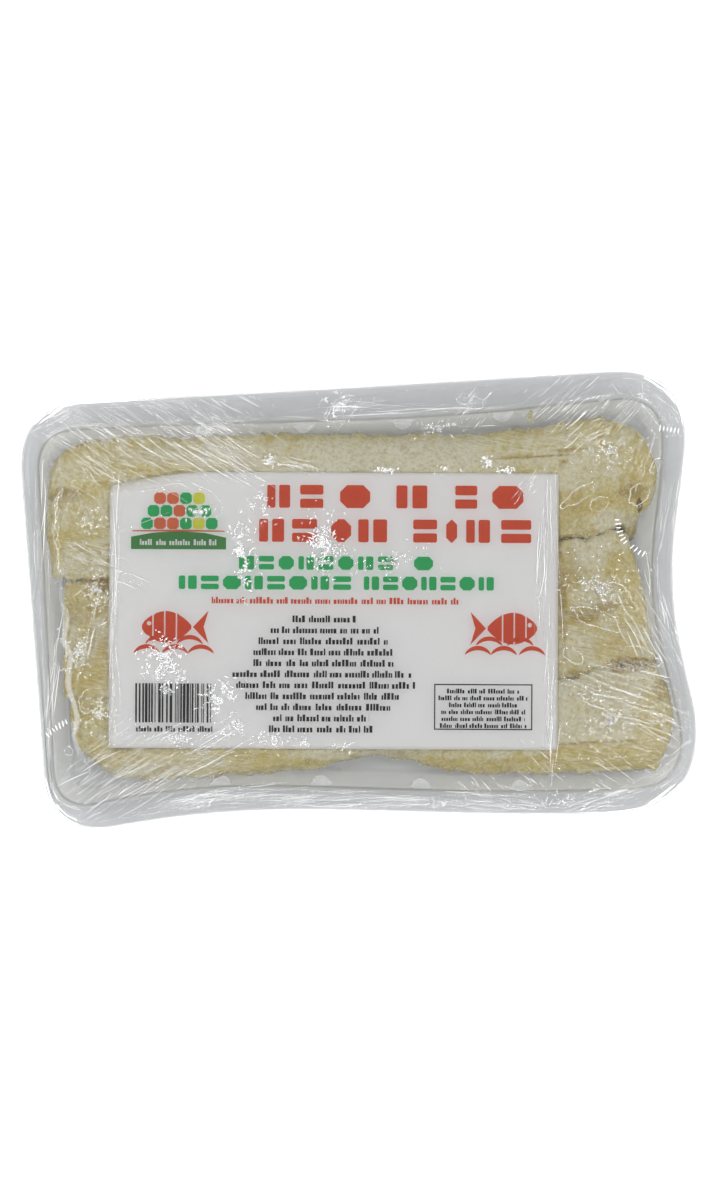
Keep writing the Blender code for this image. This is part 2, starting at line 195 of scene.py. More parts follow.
# Pulled creases in the film: middle, direction, length, width of the bundle, how many, height.
FANS = [
    (-86, 63, -36, 24, 24, 46, 0.16), (-54, 62, -34, 27, 24, 60, 0.17), (-41, 54, -36, 19, 10, 26, 0.2),
    (-88, 53, -58, 10, 10, 14, 0.14), (-19, 48, -16, 14, 2, 5, 0.3), (-69, 72, -28, 20, 5, 14, 0.14),
    (-35, 70, -53, 8, 9, 14, 0.14), (41, 67, 49, 10, 9, 12, 0.2), (74, 64, 39, 16, 20, 30, 0.2),
    (79, 53, 22, 12, 5, 8, 0.3), (91, 60, 45, 14, 12, 16, 0.18), (103, 64, -53, 16, 10, 14, 0.16),
    (100, 46, 67, 14, 10, 12, 0.14), (58, 37, 52, 9, 3, 5, 0.2), (63, 17, 85, 37, 3, 9, 0.15),
    (62, -36, 85, 34, 3, 8, 0.15), (-85, -8, 86, 68, 2, 8, 0.16), (105, 23, 77, 20, 5, 10, 0.16),
    (104, -11, -78, 20, 5, 12, 0.16), (97, -13, -65, 20, 14, 14, 0.18), (92, -29, -21, 24, 6, 9, 0.17),
    (89, -39, -25, 31, 13, 14, 0.17), (97, -51, -33, 20, 14, 14, 0.16), (58, -60, -43, 12, 15, 12, 0.24),
    (80, -61, -37, 15, 12, 10, 0.24), (35, -64, -48, 10, 10, 10, 0.2), (103, -60, 29, 17, 14, 16, 0.16),
    (78, -71, 17, 20, 5, 16, 0.18), (44, -70, -11, 20, 5, 16, 0.2), (10, -68, -1, 27, 4, 14, 0.2),
    (-21, -65, -1, 31, 3, 12, 0.22), (-50, -63, 3, 24, 4, 14, 0.22), (-62, -64, 9, 17, 3, 10, 0.24),
    (-78, -54, 27, 31, 20, 42, 0.17), (-58, -49, 25, 24, 12, 18, 0.17), (-93, -49, 35, 20, 14, 16, 0.15),
    (-89, -61, 32, 20, 9, 17, 0.16), (-109, 20, 83, 51, 3, 8, 0.12), (-107, -24, 81, 41, 3, 10, 0.12),
    (-100, 68, 32, 14, 7, 10, 0.12), (16, 65, -1, 41, 5, 10, 0.14), (-2, 68, 57, 9, 9, 9, 0.2),
    (-90, 19, -28, 17, 7, 8, 0.18), (-93, -8, 72, 20, 7, 10, 0.14), (-89, 6, 27, 10, 10, 8, 0.16),
]
# Crinkled patches: middle, half sizes, strength.
CRINKLES = [
    (-32, 34, 3.4, 4.8, 0.8), (-40, 19, 3.4, 10.2, 1), (-13, 21, 5.1, 7.5, 1), (-54, 34, 4.8, 1.7, 0.9),
    (-68, -14, 5.4, 6.1, 1), (-71, -20, 4.1, 2.7, 0.8), (-63, -22, 2.7, 2.0, 0.8), (-50, -29, 4.8, 4.8, 1),
    (-68, -26, 2.7, 1.7, 0.7), (-65, -42, 4.8, 2.4, 0.8), (-50, -41, 2.4, 2.4, 0.8),
    (-44, -39, 2.4, 2.4, 0.8), (-33, -45, 4.8, 2.4, 0.8), (-22, -46, 2.4, 1.7, 0.8),
    (-9, -48, 2.7, 1.4, 0.7), (-5, 68, 4.1, 4.8, 0.9), (45, 46, 1.7, 2.7, 1), (10, 45, 3.4, 1.0, 1),
    (30, 44, 2.7, 1.0, 1), (52, 43, 3.4, 1.0, 0.9), (-29, 50, 2.7, 1.7, 0.9), (12, 14, 10.2, 4.8, 0.35),
    (29, 58, 6.8, 2.7, 0.4), (87, 48, 10.2, 6.8, 0.35), (81, 1, 10.2, 10.2, 0.4), (-91, 33, 4.1, 4.1, 0.5),
    (-90, 9, 4.1, 6.8, 0.5), (-97, -11, 4.1, 7.5, 0.5), (-91, -33, 4.8, 6.8, 0.5),
    (82, -44, 10.2, 10.2, 0.35), (64, -70, 13.6, 2.7, 0.5), (20, -69, 13.6, 2.0, 0.45),
    (-58, -65, 10.2, 2.0, 0.5),
]
# Edges of the patches where the film clings to what is wet: middle, half sizes and direction.
LOOPS = [
    (75.5, 33.5, 7.0, 2.3, 33), (82, 30, 3.2, 2.2, 15), (96, 33, 4.4, 3.0, 50), (80, -9, 9.2, 3.0, -22),
    (88, -40, 15.6, 2.9, -20), (-5, 67, 3.6, 2.4, 60), (-77, -66, 1.7, 2.4, 0), (-102, -45, 1.7, 1.7, 0),
    (102, 42, 3.1, 1.6, 60), (88, -2, 6.2, 3.0, -50), (-103, -12, 6.1, 2.2, 80), (-94, -28, 4.8, 3.4, 40),
    (94, -22, 6.8, 2.6, -25), (40, 67, 4.8, 2.2, -20), (71, -21, 4.1, 2.2, -35),
]
# Long creases that come and go.
LINES = [
    [(-72.9, 41.7), (-62.5, 43.9), (-55.7, 43.9), (-49.1, 40.5), (-46.5, 37.0)],
    [(-83.8, 27.6), (-79.3, 29.1), (-70.6, 32.0), (-63.7, 34.4)],
    [(-83.1, 27.6), (-84.2, 19.1), (-84.5, 5.5), (-85.8, -21.7), (-85.8, -42.1)],
    [(67.9, 44.7), (67.3, 18.5), (67.7, -8.8), (67.3, -36.0)],
    [(97.1, 15.3), (98.2, 3.4), (96.9, -10.2)],
    [(102.1, -0.9), (103.8, -7.1), (105.0, -10.6)],
    [(-105.7, 24.2), (-105.9, 6.5), (-107.6, -7.0)],
    [(-91.7, 46.7), (-97.4, 40.2), (-101.3, 30.1)],
]
# Rows of short pleats, like the teeth of a zip.
PLEATS = [
    [(88.0, 24.3), (88.5, 20.9), (89.7, 17.4), (91.3, 15.6)],
    [(92.6, 14.9), (95.3, 12.7), (97.9, 11.9)],
    [(104.1, 54.8), (108.2, 53.9), (111.5, 53.4)],
    [(-108.8, -39.3), (-106.0, -37.0), (-101.1, -34.5)],
]
# The strand of gathered film down the left of the pack: wisps, then a milky ribbon.
WISPS = [(-99.4, 44.6), (-101.6, 41.0), (-102.8, 28.0), (-101.7, 15.1)]
RIBBON = [(-101.7, 16.0), (-101.8, 6.5), (-100.5, 0.9), (-101.6, -7.6), (-99.7, -12.6), (-100.6, -18.7),
          (-100.8, -24.2), (-99.5, -28.6), (-98.6, -34.1), (-99.1, -36.8), (-99.9, -40.2), (-98.2, -45.7),
          (-94.4, -52.7)]
# A flake of flesh on the far wall of the tray.
LOOSE_FLAKE = (60.5, 61.0, 13.6)


# Helpers for meshes


def to_frame(points):
    """Sheet millimetres to metres in the row frame."""
    return (np.asarray(points, float) - (BOX_MIDDLE[0], BOX_MIDDLE[1], 0.0)) * MM


def make_object(name, points, faces, finish, smooth=True):
    mesh = bpy.data.meshes.new(name)
    mesh.from_pydata(to_frame(points).tolist(), [], faces)
    mesh.polygons.foreach_set("use_smooth", [smooth] * len(mesh.polygons))
    mesh.materials.append(finish)
    obj = bpy.data.objects.new(name, mesh)
    bpy.context.scene.collection.objects.link(obj)
    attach(obj, "root")
    return obj


def grid_faces(rows, columns, wrap=False, turned=False):
    """Quads between rows of points; wrap joins each row's last point to its first, turned swaps the sides."""
    index = np.arange(rows * columns).reshape(rows, columns)
    if wrap:
        index = np.hstack([index, index[:, :1]])
    corners = [index[:-1, :-1], index[:-1, 1:], index[1:, 1:], index[1:, :-1]]
    return np.stack(corners[::-1] if turned else corners, -1).reshape(-1, 4).tolist()


def add_values(obj, name, values):
    """A number for each point, which the material reads by name."""
    layer = obj.data.attributes.new(name, "FLOAT", "POINT")
    layer.data.foreach_set("value", np.ascontiguousarray(values, np.float32).ravel())


def add_colours(obj, name, colours):
    layer = obj.data.attributes.new(name, "FLOAT_COLOR", "POINT")
    flat = np.ones((len(obj.data.vertices), 4), np.float32)
    flat[:, :3] = np.asarray(colours).reshape(-1, 3)
    layer.data.foreach_set("color", flat.ravel())


# Seeded noise over arrays of places in mm


def scattered(ix, iy, seed):
    """A repeatable number from 0 to 1 for each whole place."""
    bits = (ix * 73856093) ^ (iy * 19349663) ^ (seed * 83492791)
    bits = (bits ^ (bits >> 13)) * 1540483477
    return ((bits ^ (bits >> 15)) & 0xFFFF) / 65535.0


def grain(x, y, size, seed):
    """Smooth noise from -1 to 1 with lumps of that size."""
    x, y = np.asarray(x, float) / size, np.asarray(y, float) / size
    ix, iy = np.floor(x).astype(np.int64), np.floor(y).astype(np.int64)
    fx, fy = x - ix, y - iy
    fx, fy = fx * fx * (3 - 2 * fx), fy * fy * (3 - 2 * fy)
    low = scattered(ix, iy, seed) * (1 - fx) + scattered(ix + 1, iy, seed) * fx
    high = scattered(ix, iy + 1, seed) * (1 - fx) + scattered(ix + 1, iy + 1, seed) * fx
    return 2 * (low * (1 - fy) + high * fy) - 1


def layers(x, y, size, seed, count=4, keep=0.55):
    """Noise in octaves, each turned so that their grids never line up."""
    x, y, total = np.asarray(x, float), np.asarray(y, float), 0
    for i in range(count):
        x, y = 0.8 * x - 0.6 * y + 17.3, 0.6 * x + 0.8 * y - 9.1
        total = total + keep**i * grain(x, y, size / 2**i, seed + i)
    return total / sum(keep**i for i in range(count))


def steep(value, low, high):
    """Rises smoothly from 0 at low to 1 at high."""
    t = np.clip((value - low) / (high - low), 0, 1)
    return t * t * (3 - 2 * t)


# Outlines


def side_points(first, last, t, pull):
    """Points t of the way along a side that the film draws inwards."""
    along = last - first
    inward = np.array([-along[1], along[0]]) / np.linalg.norm(along)
    depth = pull[0] * np.abs(np.sin(np.pi * t ** pull[1])) ** 2.6
    return first + along * t[:, None] + inward * depth[:, None]


def four_sides(corners, radii, pulls):
    """A rounded outline as four runs of points, each from the middle of one bend to the next."""
    corners = np.array(corners, float)
    bends, runs = [], []
    for i in range(4):
        j, k = (i + 1) % 4, (i + 2) % 4
        first, last, after = corners[i], corners[j], corners[k]
        start = radii[i] / np.linalg.norm(last - first)
        end = 1 - radii[j] / np.linalg.norm(last - first)
        run = side_points(first, last, np.linspace(start, end, 300), pulls[i])
        turn = np.array([radii[j] / np.linalg.norm(after - last)])
        arrive = side_points(last, after, turn, pulls[j])[0]
        t = np.linspace(0, 1, 81)[:, None]
        bends.append(run[-1] * (1 - t) ** 2 + last * 2 * t * (1 - t) + arrive * t**2)
        runs.append(run)
    return [np.vstack([bends[i - 1][40:], runs[i][1:-1], bends[i][:41]]) for i in range(4)]


def spaced(points, count):
    """That many equal steps along a run of points."""
    points = np.asarray(points, float)
    steps = np.linalg.norm(np.diff(points, axis=0), axis=1)
    reached = np.concatenate([[0], np.cumsum(steps)])
    wanted = np.linspace(0, reached[-1], count + 1)
    return np.stack([np.interp(wanted, reached, points[:, k]) for k in (0, 1)], 1)


def path_length(points):
    return np.linalg.norm(np.diff(np.asarray(points, float), axis=0), axis=1).sum()


def aimed(x, y, degrees, on, aside):
    """The place that far on and that far to the left of x, y when facing that way."""
    c, s = math.cos(math.radians(degrees)), math.sin(math.radians(degrees))
    return x + on * c - aside * s, y + on * s + aside * c


def smooth_through(points, s):
    """A Catmull-Rom curve through the points, for an array s from 0 to 1."""
    points = np.asarray(points, float)
    place = np.clip(s, 0, 1) * (len(points) - 1)
    i = np.minimum(place.astype(int), len(points) - 2)
    f = (place - i)[:, None]
    before, first, last, after = (points[np.clip(k, 0, len(points) - 1)] for k in (i - 1, i, i + 1, i + 2))
    return 0.5 * (
        2 * first
        + (last - before) * f
        + (2 * before - 5 * first + 4 * last - after) * f**2
        + (3 * first - before - 3 * last + after) * f**3
    )


def loop_of(sides, counts):
    return np.vstack([spaced(side, count)[:-1] for side, count in zip(sides, counts)])


def moved_in(loop, reach):
    """A closed loop moved inwards, square to itself."""
    along = np.roll(loop, -1, 0) - np.roll(loop, 1, 0)
    inward = np.stack([-along[:, 1], along[:, 0]], 1) / np.linalg.norm(along, axis=1)[:, None]
    return loop + inward * np.reshape(reach, (-1, 1))


def filled(loop, columns, rows):
    """A grid of points that follows the four sides of a closed loop."""
    near = loop[: columns + 1]
    right = loop[columns : columns + rows + 1]
    far = loop[columns + rows : 2 * columns + rows + 1][::-1]
    left = np.vstack([loop[2 * columns + rows :], loop[:1]])[::-1]
    u = np.linspace(0, 1, columns + 1)[None, :, None]
    v = np.linspace(0, 1, rows + 1)[:, None, None]
    ruled = (1 - v) * near[None] + v * far[None] + (1 - u) * left[:, None] + u * right[:, None]
    twist = (1 - u) * (1 - v) * near[0] + u * (1 - v) * near[-1] + (1 - u) * v * far[0] + u * v * far[-1]
    return ruled - twist


def raised(loop, z):
    return np.column_stack([loop, np.broadcast_to(z, len(loop))])


# Film


class Relief:
    """Low swells and milkiness of a stretch of film, the milkiness partly stretch haze and partly painted
    highlight, drawn on a raster and read back at any place.
    """

    PITCH = 0.5

    def __init__(self, half_x, half_y):
        self.half = half_x, half_y
        shape = int(2 * half_y / self.PITCH), int(2 * half_x / self.PITCH)
        self.swell, self.milk = np.zeros(shape), np.zeros(shape)

    def bump(self, x, y, degrees, length, width, height, milk):
        """One long soft swell, highest in its middle."""
        reach = length / 2 + 3 * width
        low_c = max(0, int((x - reach + self.half[0]) / self.PITCH))
        high_c = max(0, int((x + reach + self.half[0]) / self.PITCH) + 1)
        low_r = max(0, int((y - reach + self.half[1]) / self.PITCH))
        high_r = max(0, int((y + reach + self.half[1]) / self.PITCH) + 1)
        part = np.s_[low_r:high_r, low_c:high_c]
        rows, columns = self.swell[part].shape
        py, px = np.mgrid[low_r : low_r + rows, low_c : low_c + columns] * self.PITCH
        c, s = math.cos(math.radians(degrees)), math.sin(math.radians(degrees))
        dx, dy = px - self.half[0] - x, py - self.half[1] - y
        along, across = dx * c + dy * s, dy * c - dx * s
        shape = np.exp(-((across / width) ** 2)) * np.clip(1 - (2 * along / length) ** 2, 0, 1)
        self.swell[part] += height * shape
        self.milk[part] = np.maximum(self.milk[part], milk * shape)

    def read(self, layer, x, y):
        """The layer's value between its nearest four cells."""
        c = np.clip((x + self.half[0]) / self.PITCH, 0, layer.shape[1] - 2)
        r = np.clip((y + self.half[1]) / self.PITCH, 0, layer.shape[0] - 2)
        ic, ir = c.astype(int), r.astype(int)
        fc, fr = c - ic, r - ir
        low = layer[ir, ic] * (1 - fc) + layer[ir, ic + 1] * fc
        high = layer[ir + 1, ic] * (1 - fc) + layer[ir + 1, ic + 1] * fc
        return low * (1 - fr) + high * fr


class Creases:
    """Fine raised creases: each a narrow strip with a crest, laid on the film, whitened along it partly as
    stretch haze and partly as painted highlight.
    """

    def __init__(self, seed):
        self.points, self.faces, self.milk = [], [], []
        self.dice = random.Random(seed)

    def strip(self, path, width, height, milk):
        """A crease along a path, drawn out to nothing at both ends."""
        path = np.asarray(path, float)
        along = np.gradient(path, axis=0)
        along /= np.maximum(1e-9, np.linalg.norm(along, axis=1, keepdims=True))
        side = np.stack([-along[:, 1], along[:, 0]], 1)
        t = np.linspace(0.03, 0.97, len(path))
        swell = np.minimum(1, 4.5 * np.minimum(t, 1 - t)) ** 0.8
        first = len(self.points)
        for (x, y), (sx, sy), size in zip(path, side, swell):
            half = 0.5 * width * (0.35 + 0.65 * size)
            low, high = (x - sx * half, y - sy * half, 0.0), (x + sx * half, y + sy * half, 0.0)
            self.points += [low, (x, y, height * size), high]
            self.milk += [milk * size * 0.6, milk * size, milk * size * 0.6]
        for i in range(len(path) - 1):
            a = first + 3 * i
            self.faces += [(a, a + 3, a + 4, a + 1), (a + 1, a + 4, a + 5, a + 2)]

    def straight(self, x, y, degrees, length, width, height, milk):
        """A short crease with a slight bow."""
        count = max(3, int(length / 1.3))
        t = np.linspace(-0.5, 0.5, count)
        bow = self.dice.gauss(0, 0.03) * length * (1 - 4 * t**2)
        path = np.stack(aimed(x, y, degrees, t * length, bow), 1)
        self.strip(path, width, height, milk)

    def fan(self, x, y, degrees, length, spread, count, height):
        """A bundle of creases that run nearly the same way."""
        for _ in range(int(count * 5)):
            aside, on = self.dice.gauss(0, 0.38) * spread, self.dice.gauss(0, 0.36) * length
            strength = self.dice.random() ** (6 if height < 0.18 else 3)
            # The strongest creases are painted whitest: painted highlight over a little haze.
            self.straight(
                *aimed(x, y, degrees, on, aside), degrees + self.dice.gauss(0, 3.5),
                length * self.dice.uniform(0.1, 0.65), self.dice.uniform(0.12, 0.22),
                height * (0.15 + 0.7 * strength), 0.09 + 0.9 * strength,
            )

    def broken(self, path, width, height, milk):
        """A long crease that comes and goes."""
        path = spaced(path, max(4, int(path_length(path) / 0.5)))
        first = 0
        while first < len(path) - 3:
            last = min(len(path), first + self.dice.randint(10, 46))
            strength = self.dice.uniform(0.3, 1.1)
            wide = width * self.dice.uniform(0.7, 1.2)
            self.strip(path[first:last], wide, height * strength, milk * strength)
            first = last - self.dice.choice([1, 1, 0, -1])

    def loop(self, x, y, rx, ry, degrees):
        """The edge of a patch where the film clings: short curves that meet in points."""
        count = max(6, int(1.5 * (rx + ry)))
        shifts = [self.dice.gauss(0, 0.9 / count) for _ in range(count + 1)]
        turns = np.linspace(0, 2 * math.pi, count + 1) + shifts
        reach = np.array([self.dice.uniform(0.8, 1.15) for _ in range(count + 1)])
        turns[-1], reach[-1] = turns[0] + 2 * math.pi, reach[0]
        path = []
        for i in range(count):
            t = np.linspace(0, 1, 9)[:-1]
            sag = self.dice.uniform(-0.16, 0.1) * np.sin(math.pi * t)
            a, r = turns[i] + (turns[i + 1] - turns[i]) * t, reach[i] + (reach[i + 1] - reach[i]) * t + sag
            path += zip(*aimed(x, y, degrees, rx * r * np.cos(a), ry * r * np.sin(a)))
        gap = self.dice.randrange(len(path))
        path = path[gap:] + path[:gap]
        shown = int(len(path) * self.dice.uniform(0.6, 0.9))
        # The white of these edges is painted highlight.
        self.strip(path[:shown], 0.26, 0.12, self.dice.uniform(0.25, 0.5))
        self.broken(path, 0.22, 0.1, 0.4)

    def pleats(self, points):
        """A row of short pleats that stand across a path."""
        path = spaced(points, int(path_length(points) / 1.25))
        for (x, y), (nx, ny) in zip(path[:-1], path[1:]):
            degrees = math.degrees(math.atan2(ny - y, nx - x)) + 80 + self.dice.gauss(0, 8)
            reach = self.dice.uniform(0.8, 1.4)
            c, s = reach * math.cos(math.radians(degrees)), reach * math.sin(math.radians(degrees))
            # Each pleat is painted nearly opaque white: painted highlight.
            self.strip([(x + c * t, y + s * t) for t in (-1, -0.6, 0, 0.6, 1)], 0.42, 0.14, 0.95)

    def crinkle(self, x, y, rx, ry, strength):
        """A patch of tiny folds that run every way."""
        for _ in range(int(rx * ry * 10 * strength) + 6):
            a, reach = self.dice.uniform(0, 2 * math.pi), abs(self.dice.gauss(0, 0.75))
            px, py = x + rx * reach * math.cos(a), y + ry * reach * math.sin(a)
            if grain(px, py, 2.4, 83) < -0.25:
                continue
            # The white of the tiny folds is partly painted highlight.
            self.straight(
                px, py, self.dice.gauss(35, 55), self.dice.uniform(0.5, 2.0), self.dice.uniform(0.28, 0.7),
                0.1 * self.dice.uniform(0.6, 1.4), strength * self.dice.uniform(0.2, 1),
            )

    def strand(self, wisps, ribbon):
        """Film gathered into a loose rope: threads that wander over each other, then a milky ribbon."""
        for seed in range(6):
            path = spaced(wisps, 110)
            path[:, 0] += 2.6 * layers(path[:, 1] + 31 * seed, path[:, 0] * 0, 7, seed, 5, 0.75)
            self.broken(path, 0.22, 0.1, 0.4)
        path = smooth_through(ribbon, np.linspace(0, 1, 260))
        for aside in (-0.5, 0.0, 0.5):
            line = path.copy()
            line[:, 0] += aside + 0.4 * layers(path[:, 1] + 50 * aside, path[:, 0] * 0, 4, 77, 3)
            self.strip(line, 1.0, 0.02, 0.22)
        for _ in range(70):
            x, y = path[self.dice.randrange(len(path))]
            aside, degrees = self.dice.gauss(0, 0.7), self.dice.gauss(80, 40)
            self.straight(x + aside, y, degrees, self.dice.uniform(0.6, 2.6), 0.24, 0.1, 0.4)

    def lay(self, name, tree, heights, finish):
        """Lifts each point to the film below it and makes the piece."""
        points, outside = [], set()
        for i, (x, y, lift) in enumerate(self.points):
            near = tree.find_n((x, y, 0), 3)
            points.append((x, y, 0.03 + lift + sum(heights[k] for _, k, _ in near) / len(near)))
            if near[0][2] > 0.6:
                outside.add(i)
        faces = [face for face in self.faces if not outside.intersection(face)]
        kept = sorted({i for face in faces for i in face})
        place = {old: new for new, old in enumerate(kept)}
        faces = [[place[i] for i in face] for face in faces]
        creases = make_object(name, [points[i] for i in kept], faces, finish)
        add_values(creases, "milk", [self.milk[i] for i in kept])
        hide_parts("film")


def draw_creases(rim, mouth):
    creases = Creases(5)
    for fan in FANS:
        creases.fan(*fan)
    for patch in CRINKLES:
        creases.crinkle(*patch)
    for loop in LOOPS:
        creases.loop(*loop)
    for points in LINES:
        # The long creases are whitened as painted highlight.
        creases.broken(points, 0.2, 0.08, 0.42)
    for points in PLEATS:
        creases.pleats(points)
    creases.strand(WISPS, RIBBON)
    # Broken lines inside the mouth and along the rim, whitened as painted highlight.
    for reach, milk in ((-0.9, 0.2), (-1.4, 0.1)):
        creases.broken(moved_in(mouth, reach), 0.34, 0.07, milk)
    creases.broken(moved_in(rim, 2.6), 0.3, 0.05, 0.12)
    return creases


def make_film(finish):
    """The sheet over the pack with its swells, then its creases, its sides and its underside."""
    counts = columns, rows, _, _ = (352, 232, 352, 232)
    rim = loop_of(four_sides(RIM_CORNERS, RIM_RADII, RIM_PULLS), counts)
    mouth = loop_of(four_sides(MOUTH_CORNERS, MOUTH_RADII, MOUTH_PULLS), counts)
    flat = filled(moved_in(rim, 1.2), columns, rows)
    swells = Relief(116, 78)
    dice = random.Random(3)
    for x, y, degrees, length, spread, count, height in FANS:
        for _ in range(int(count / 3) + 1):
            aside, on = dice.gauss(0, 0.3) * spread, dice.gauss(0, 0.3) * length
            swells.bump(
                *aimed(x, y, degrees, on, aside), degrees + dice.gauss(0, 5),
                length * dice.uniform(0.3, 0.7), 0.6, height**2 * dice.choice([0.1, 0.3, 0.5, 1.0]), 0.03,
            )
    for x, y, rx, ry, strength in CRINKLES:
        for _ in range(5):
            swells.bump(
                x + dice.gauss(0, rx / 2), y + dice.gauss(0, ry / 2), dice.uniform(0, 180),
                dice.uniform(2, 6), 0.6, 0.07 * strength, 0.08 * strength,
            )
    x, y = flat[..., 0], flat[..., 1]
    across = np.abs(np.linspace(-1, 1, columns + 1))[None, :]
    down = np.abs(np.linspace(-1, 1, rows + 1))[:, None]
    inner = 1 - np.maximum(across, down) ** 7
    swell = swells.read(swells.swell, x, y) + 0.1 * layers(x, y, 13, 41, 3) + 0.03 * layers(x, y, 3, 47, 2)
    free = 0.15 + 0.85 * np.minimum(1, 3 * inner) ** 2
    z = FILM_OVER_RIM + FILM_DOME * inner + np.minimum(swell, 0.5) * free
    points = np.dstack([flat, z]).reshape(-1, 3)
    top = make_object("film_top", points, grid_faces(rows + 1, columns + 1), finish)
    add_values(top, "milk", swells.read(swells.milk, x, y))
    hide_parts("film")
    tree = kdtree.KDTree(len(points))
    for i, point in enumerate(points):
        tree.insert((point[0], point[1], 0), i)
    tree.balance()
    draw_creases(rim, mouth).lay("film_creases", tree, points[:, 2], finish)
    make_film_sides(finish, rim, counts)
    make_film_underside(finish)


def film_foot(counts, reach):
    """The outline under the pack that the film is drawn in to."""
    return moved_in(loop_of(four_sides(MOUTH_CORNERS, MOUTH_RADII, MOUTH_PULLS), counts), reach)


def make_film_sides(finish, rim, counts):
    """Over the flange's lip, then slanting in under it in gathers."""
    foot = film_foot(counts, FILM_FOOT_INSET)
    lip = [(1.2, 0.0), (0.3, 0.01), (0.12, 0.08), (0.03, 0.3), (0.0, 0.9), (0.0, 2.3), (0.1, 3.2)]
    rings = [raised(moved_in(rim, reach), FILM_OVER_RIM - drop) for reach, drop in lip]
    gathers = 0.5 * layers(foot[:, 0] * 1.6, foot[:, 1] * 1.6, 5, 61, 3)
    steps = 14
    for step in range(1, steps + 1):
        t = step / steps
        ring = rim * (1 - t) + foot * t
        ring = moved_in(ring, 0.1 - gathers * t * math.sin(math.pi * min(1, 0.75 * t)) * 0.9)
        rings.append(raised(ring, (FILM_OVER_RIM - 3.2) * (1 - t) ** 1.04 + 0.25 * t + 0.1))
    grid = np.stack(rings)
    faces = grid_faces(*grid.shape[:2], wrap=True)
    sides = make_object("film_sides", grid.reshape(-1, 3), faces, finish)
    down = np.linspace(0, 1, len(grid))[:, None]
    add_values(sides, "milk", np.clip(np.abs(gathers)[None, :] * 0.16 * down, 0, 0.1))
    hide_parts("film")


def make_film_underside(finish):
    """The folds of the wrapping underneath: end flaps tucked in, then two long edges that overlap."""
    counts = (180, 116, 180, 116)
    flat = filled(film_foot(counts, FILM_FOOT_INSET + 0.1), counts[0], counts[1])
    x, y = flat[..., 0], flat[..., 1]
    z = 0.1 + 0.08 * layers(x, y, 9, 53, 3) + 0.05 * layers(x, y, 2.5, 57, 2)
    flap = np.clip((9 - np.abs(y)) * 0.8, 0, 1) * 0.1
    flap += np.clip((np.abs(x) - 52 - 0.9 * np.abs(np.abs(y) - 8)) * 0.8, 0, 1) * 0.1
    points = np.dstack([flat, z]).reshape(-1, 3)
    bottom = make_object("film_underside", points, grid_faces(*flat.shape[:2]), finish)
    add_values(bottom, "milk", flap)
    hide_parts("film")
    folds = Creases(9)
    for side in (-1, 1):
        edge = [(-92, 6 * side), (-30, 7 * side + 2), (35, 8 * side - 1), (92, 5 * side)]
        folds.broken(edge, 0.8, -0.1, 0.5)
        for end in (-1, 1):
            edge = [(94 * end, 48 * side), (70 * end, 26 * side), (52 * end, 8 * side)]
            folds.broken(edge, 0.7, -0.1, 0.5)
            folds.fan(80 * end, 38 * side, 40 * end * side, 26, 20, 36, -0.08)
            folds.fan(60 * end, 20 * side, 20 * end * side, 40, 20, 24, -0.08)
    folds.fan(0, 0, 4, 60, 30, 40, -0.08)
    points = [(px, py, 0.02 - lift * 0.1) for px, py, lift in folds.points]
    creases = make_object("film_folds_below", points, folds.faces, finish)
    add_values(creases, "milk", folds.milk)
    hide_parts("film")


# Tray


def make_tray(finish):
    """One sheet from the floor up the walls, over the shoulder and the flange, and down its lip. Each ring
    has how much painted shade darkens it along a bend, and painted light makes the lugs paler."""
    counts = (230, 150, 230, 150)
    mouth = loop_of(four_sides(MOUTH_CORNERS, MOUTH_RADII, MOUTH_PULLS), counts)
    flange = moved_in(loop_of(four_sides(RIM_CORNERS, RIM_RADII, RIM_PULLS), counts), FLANGE_IN_FILM)
    along_side = np.abs(mouth[:, 1]) > 50
    aside = np.min([np.abs(mouth[:, 0] - place) for place in LUG_PLACES], axis=0)
    lugs = np.where(along_side & (aside < LUG_RADIUS), np.sqrt(np.maximum(0, LUG_RADIUS**2 - aside**2)), 0)
    floor = moved_in(mouth, FLOOR_INSET)
    rings = [(floor * share, TRAY_FLOOR, 0) for share in (0.02, 0.3, 0.6, 0.85)]
    # Painted shade along the bend from floor to wall.
    for reach, z, dark in ((FLOOR_INSET, TRAY_FLOOR, 0), (6.1, 1.16, 0.1), (5.4, 1.4, 0.1), (4.8, 1.9, 0)):
        rings.append((moved_in(mouth, reach), z, dark))
    for step in range(11):
        t = step / 10
        # Painted light: the lugs are made paler.
        pale = np.where((lugs > 4.4 - 3.7 * t) & (lugs > 0), -0.6, 0.0)
        rings.append((moved_in(mouth, np.maximum(4.4 - 3.7 * t, lugs)), 2.6 + 11.6 * t, pale))
    # Painted shade along the shoulder's bend.
    shoulder = [
        (0.6, 14.4, 0), (0.45, 14.8, 0.1), (0.25, 15.25, 0.65), (0.05, 15.55, 0.15), (-0.3, 15.9, 0),
        (-0.7, RIM_HEIGHT, 0),
    ]
    rings += [(moved_in(mouth, reach), z, dark) for reach, z, dark in shoulder]
    for share, z in ((0.25, RIM_HEIGHT), (0.45, 15.9), (0.7, 15.9)):
        rings.append((mouth * (1 - share) + flange * share, z, 0))
    # Painted shade along the lip's bend.
    lip = [
        (1.1, RIM_HEIGHT, 0), (0.75, 15.99, 0.35), (0.45, 15.96, 0.35), (0.12, 15.8, 0), (0.0, 15.3, 0),
        (-0.05, 14.6, 0), (-0.12, 13.4, 0),
    ]
    rings += [(moved_in(flange, reach), z, dark) for reach, z, dark in lip]
    grid = np.stack([raised(ring, z) for ring, z, _ in rings])
    faces = grid_faces(*grid.shape[:2], wrap=True)
    tray = make_object("tray_shell", grid.reshape(-1, 3), faces, finish)
    add_values(tray, "bend", np.stack([np.broadcast_to(dark, len(mouth)) for _, _, dark in rings]))
    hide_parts("tray")


# Label


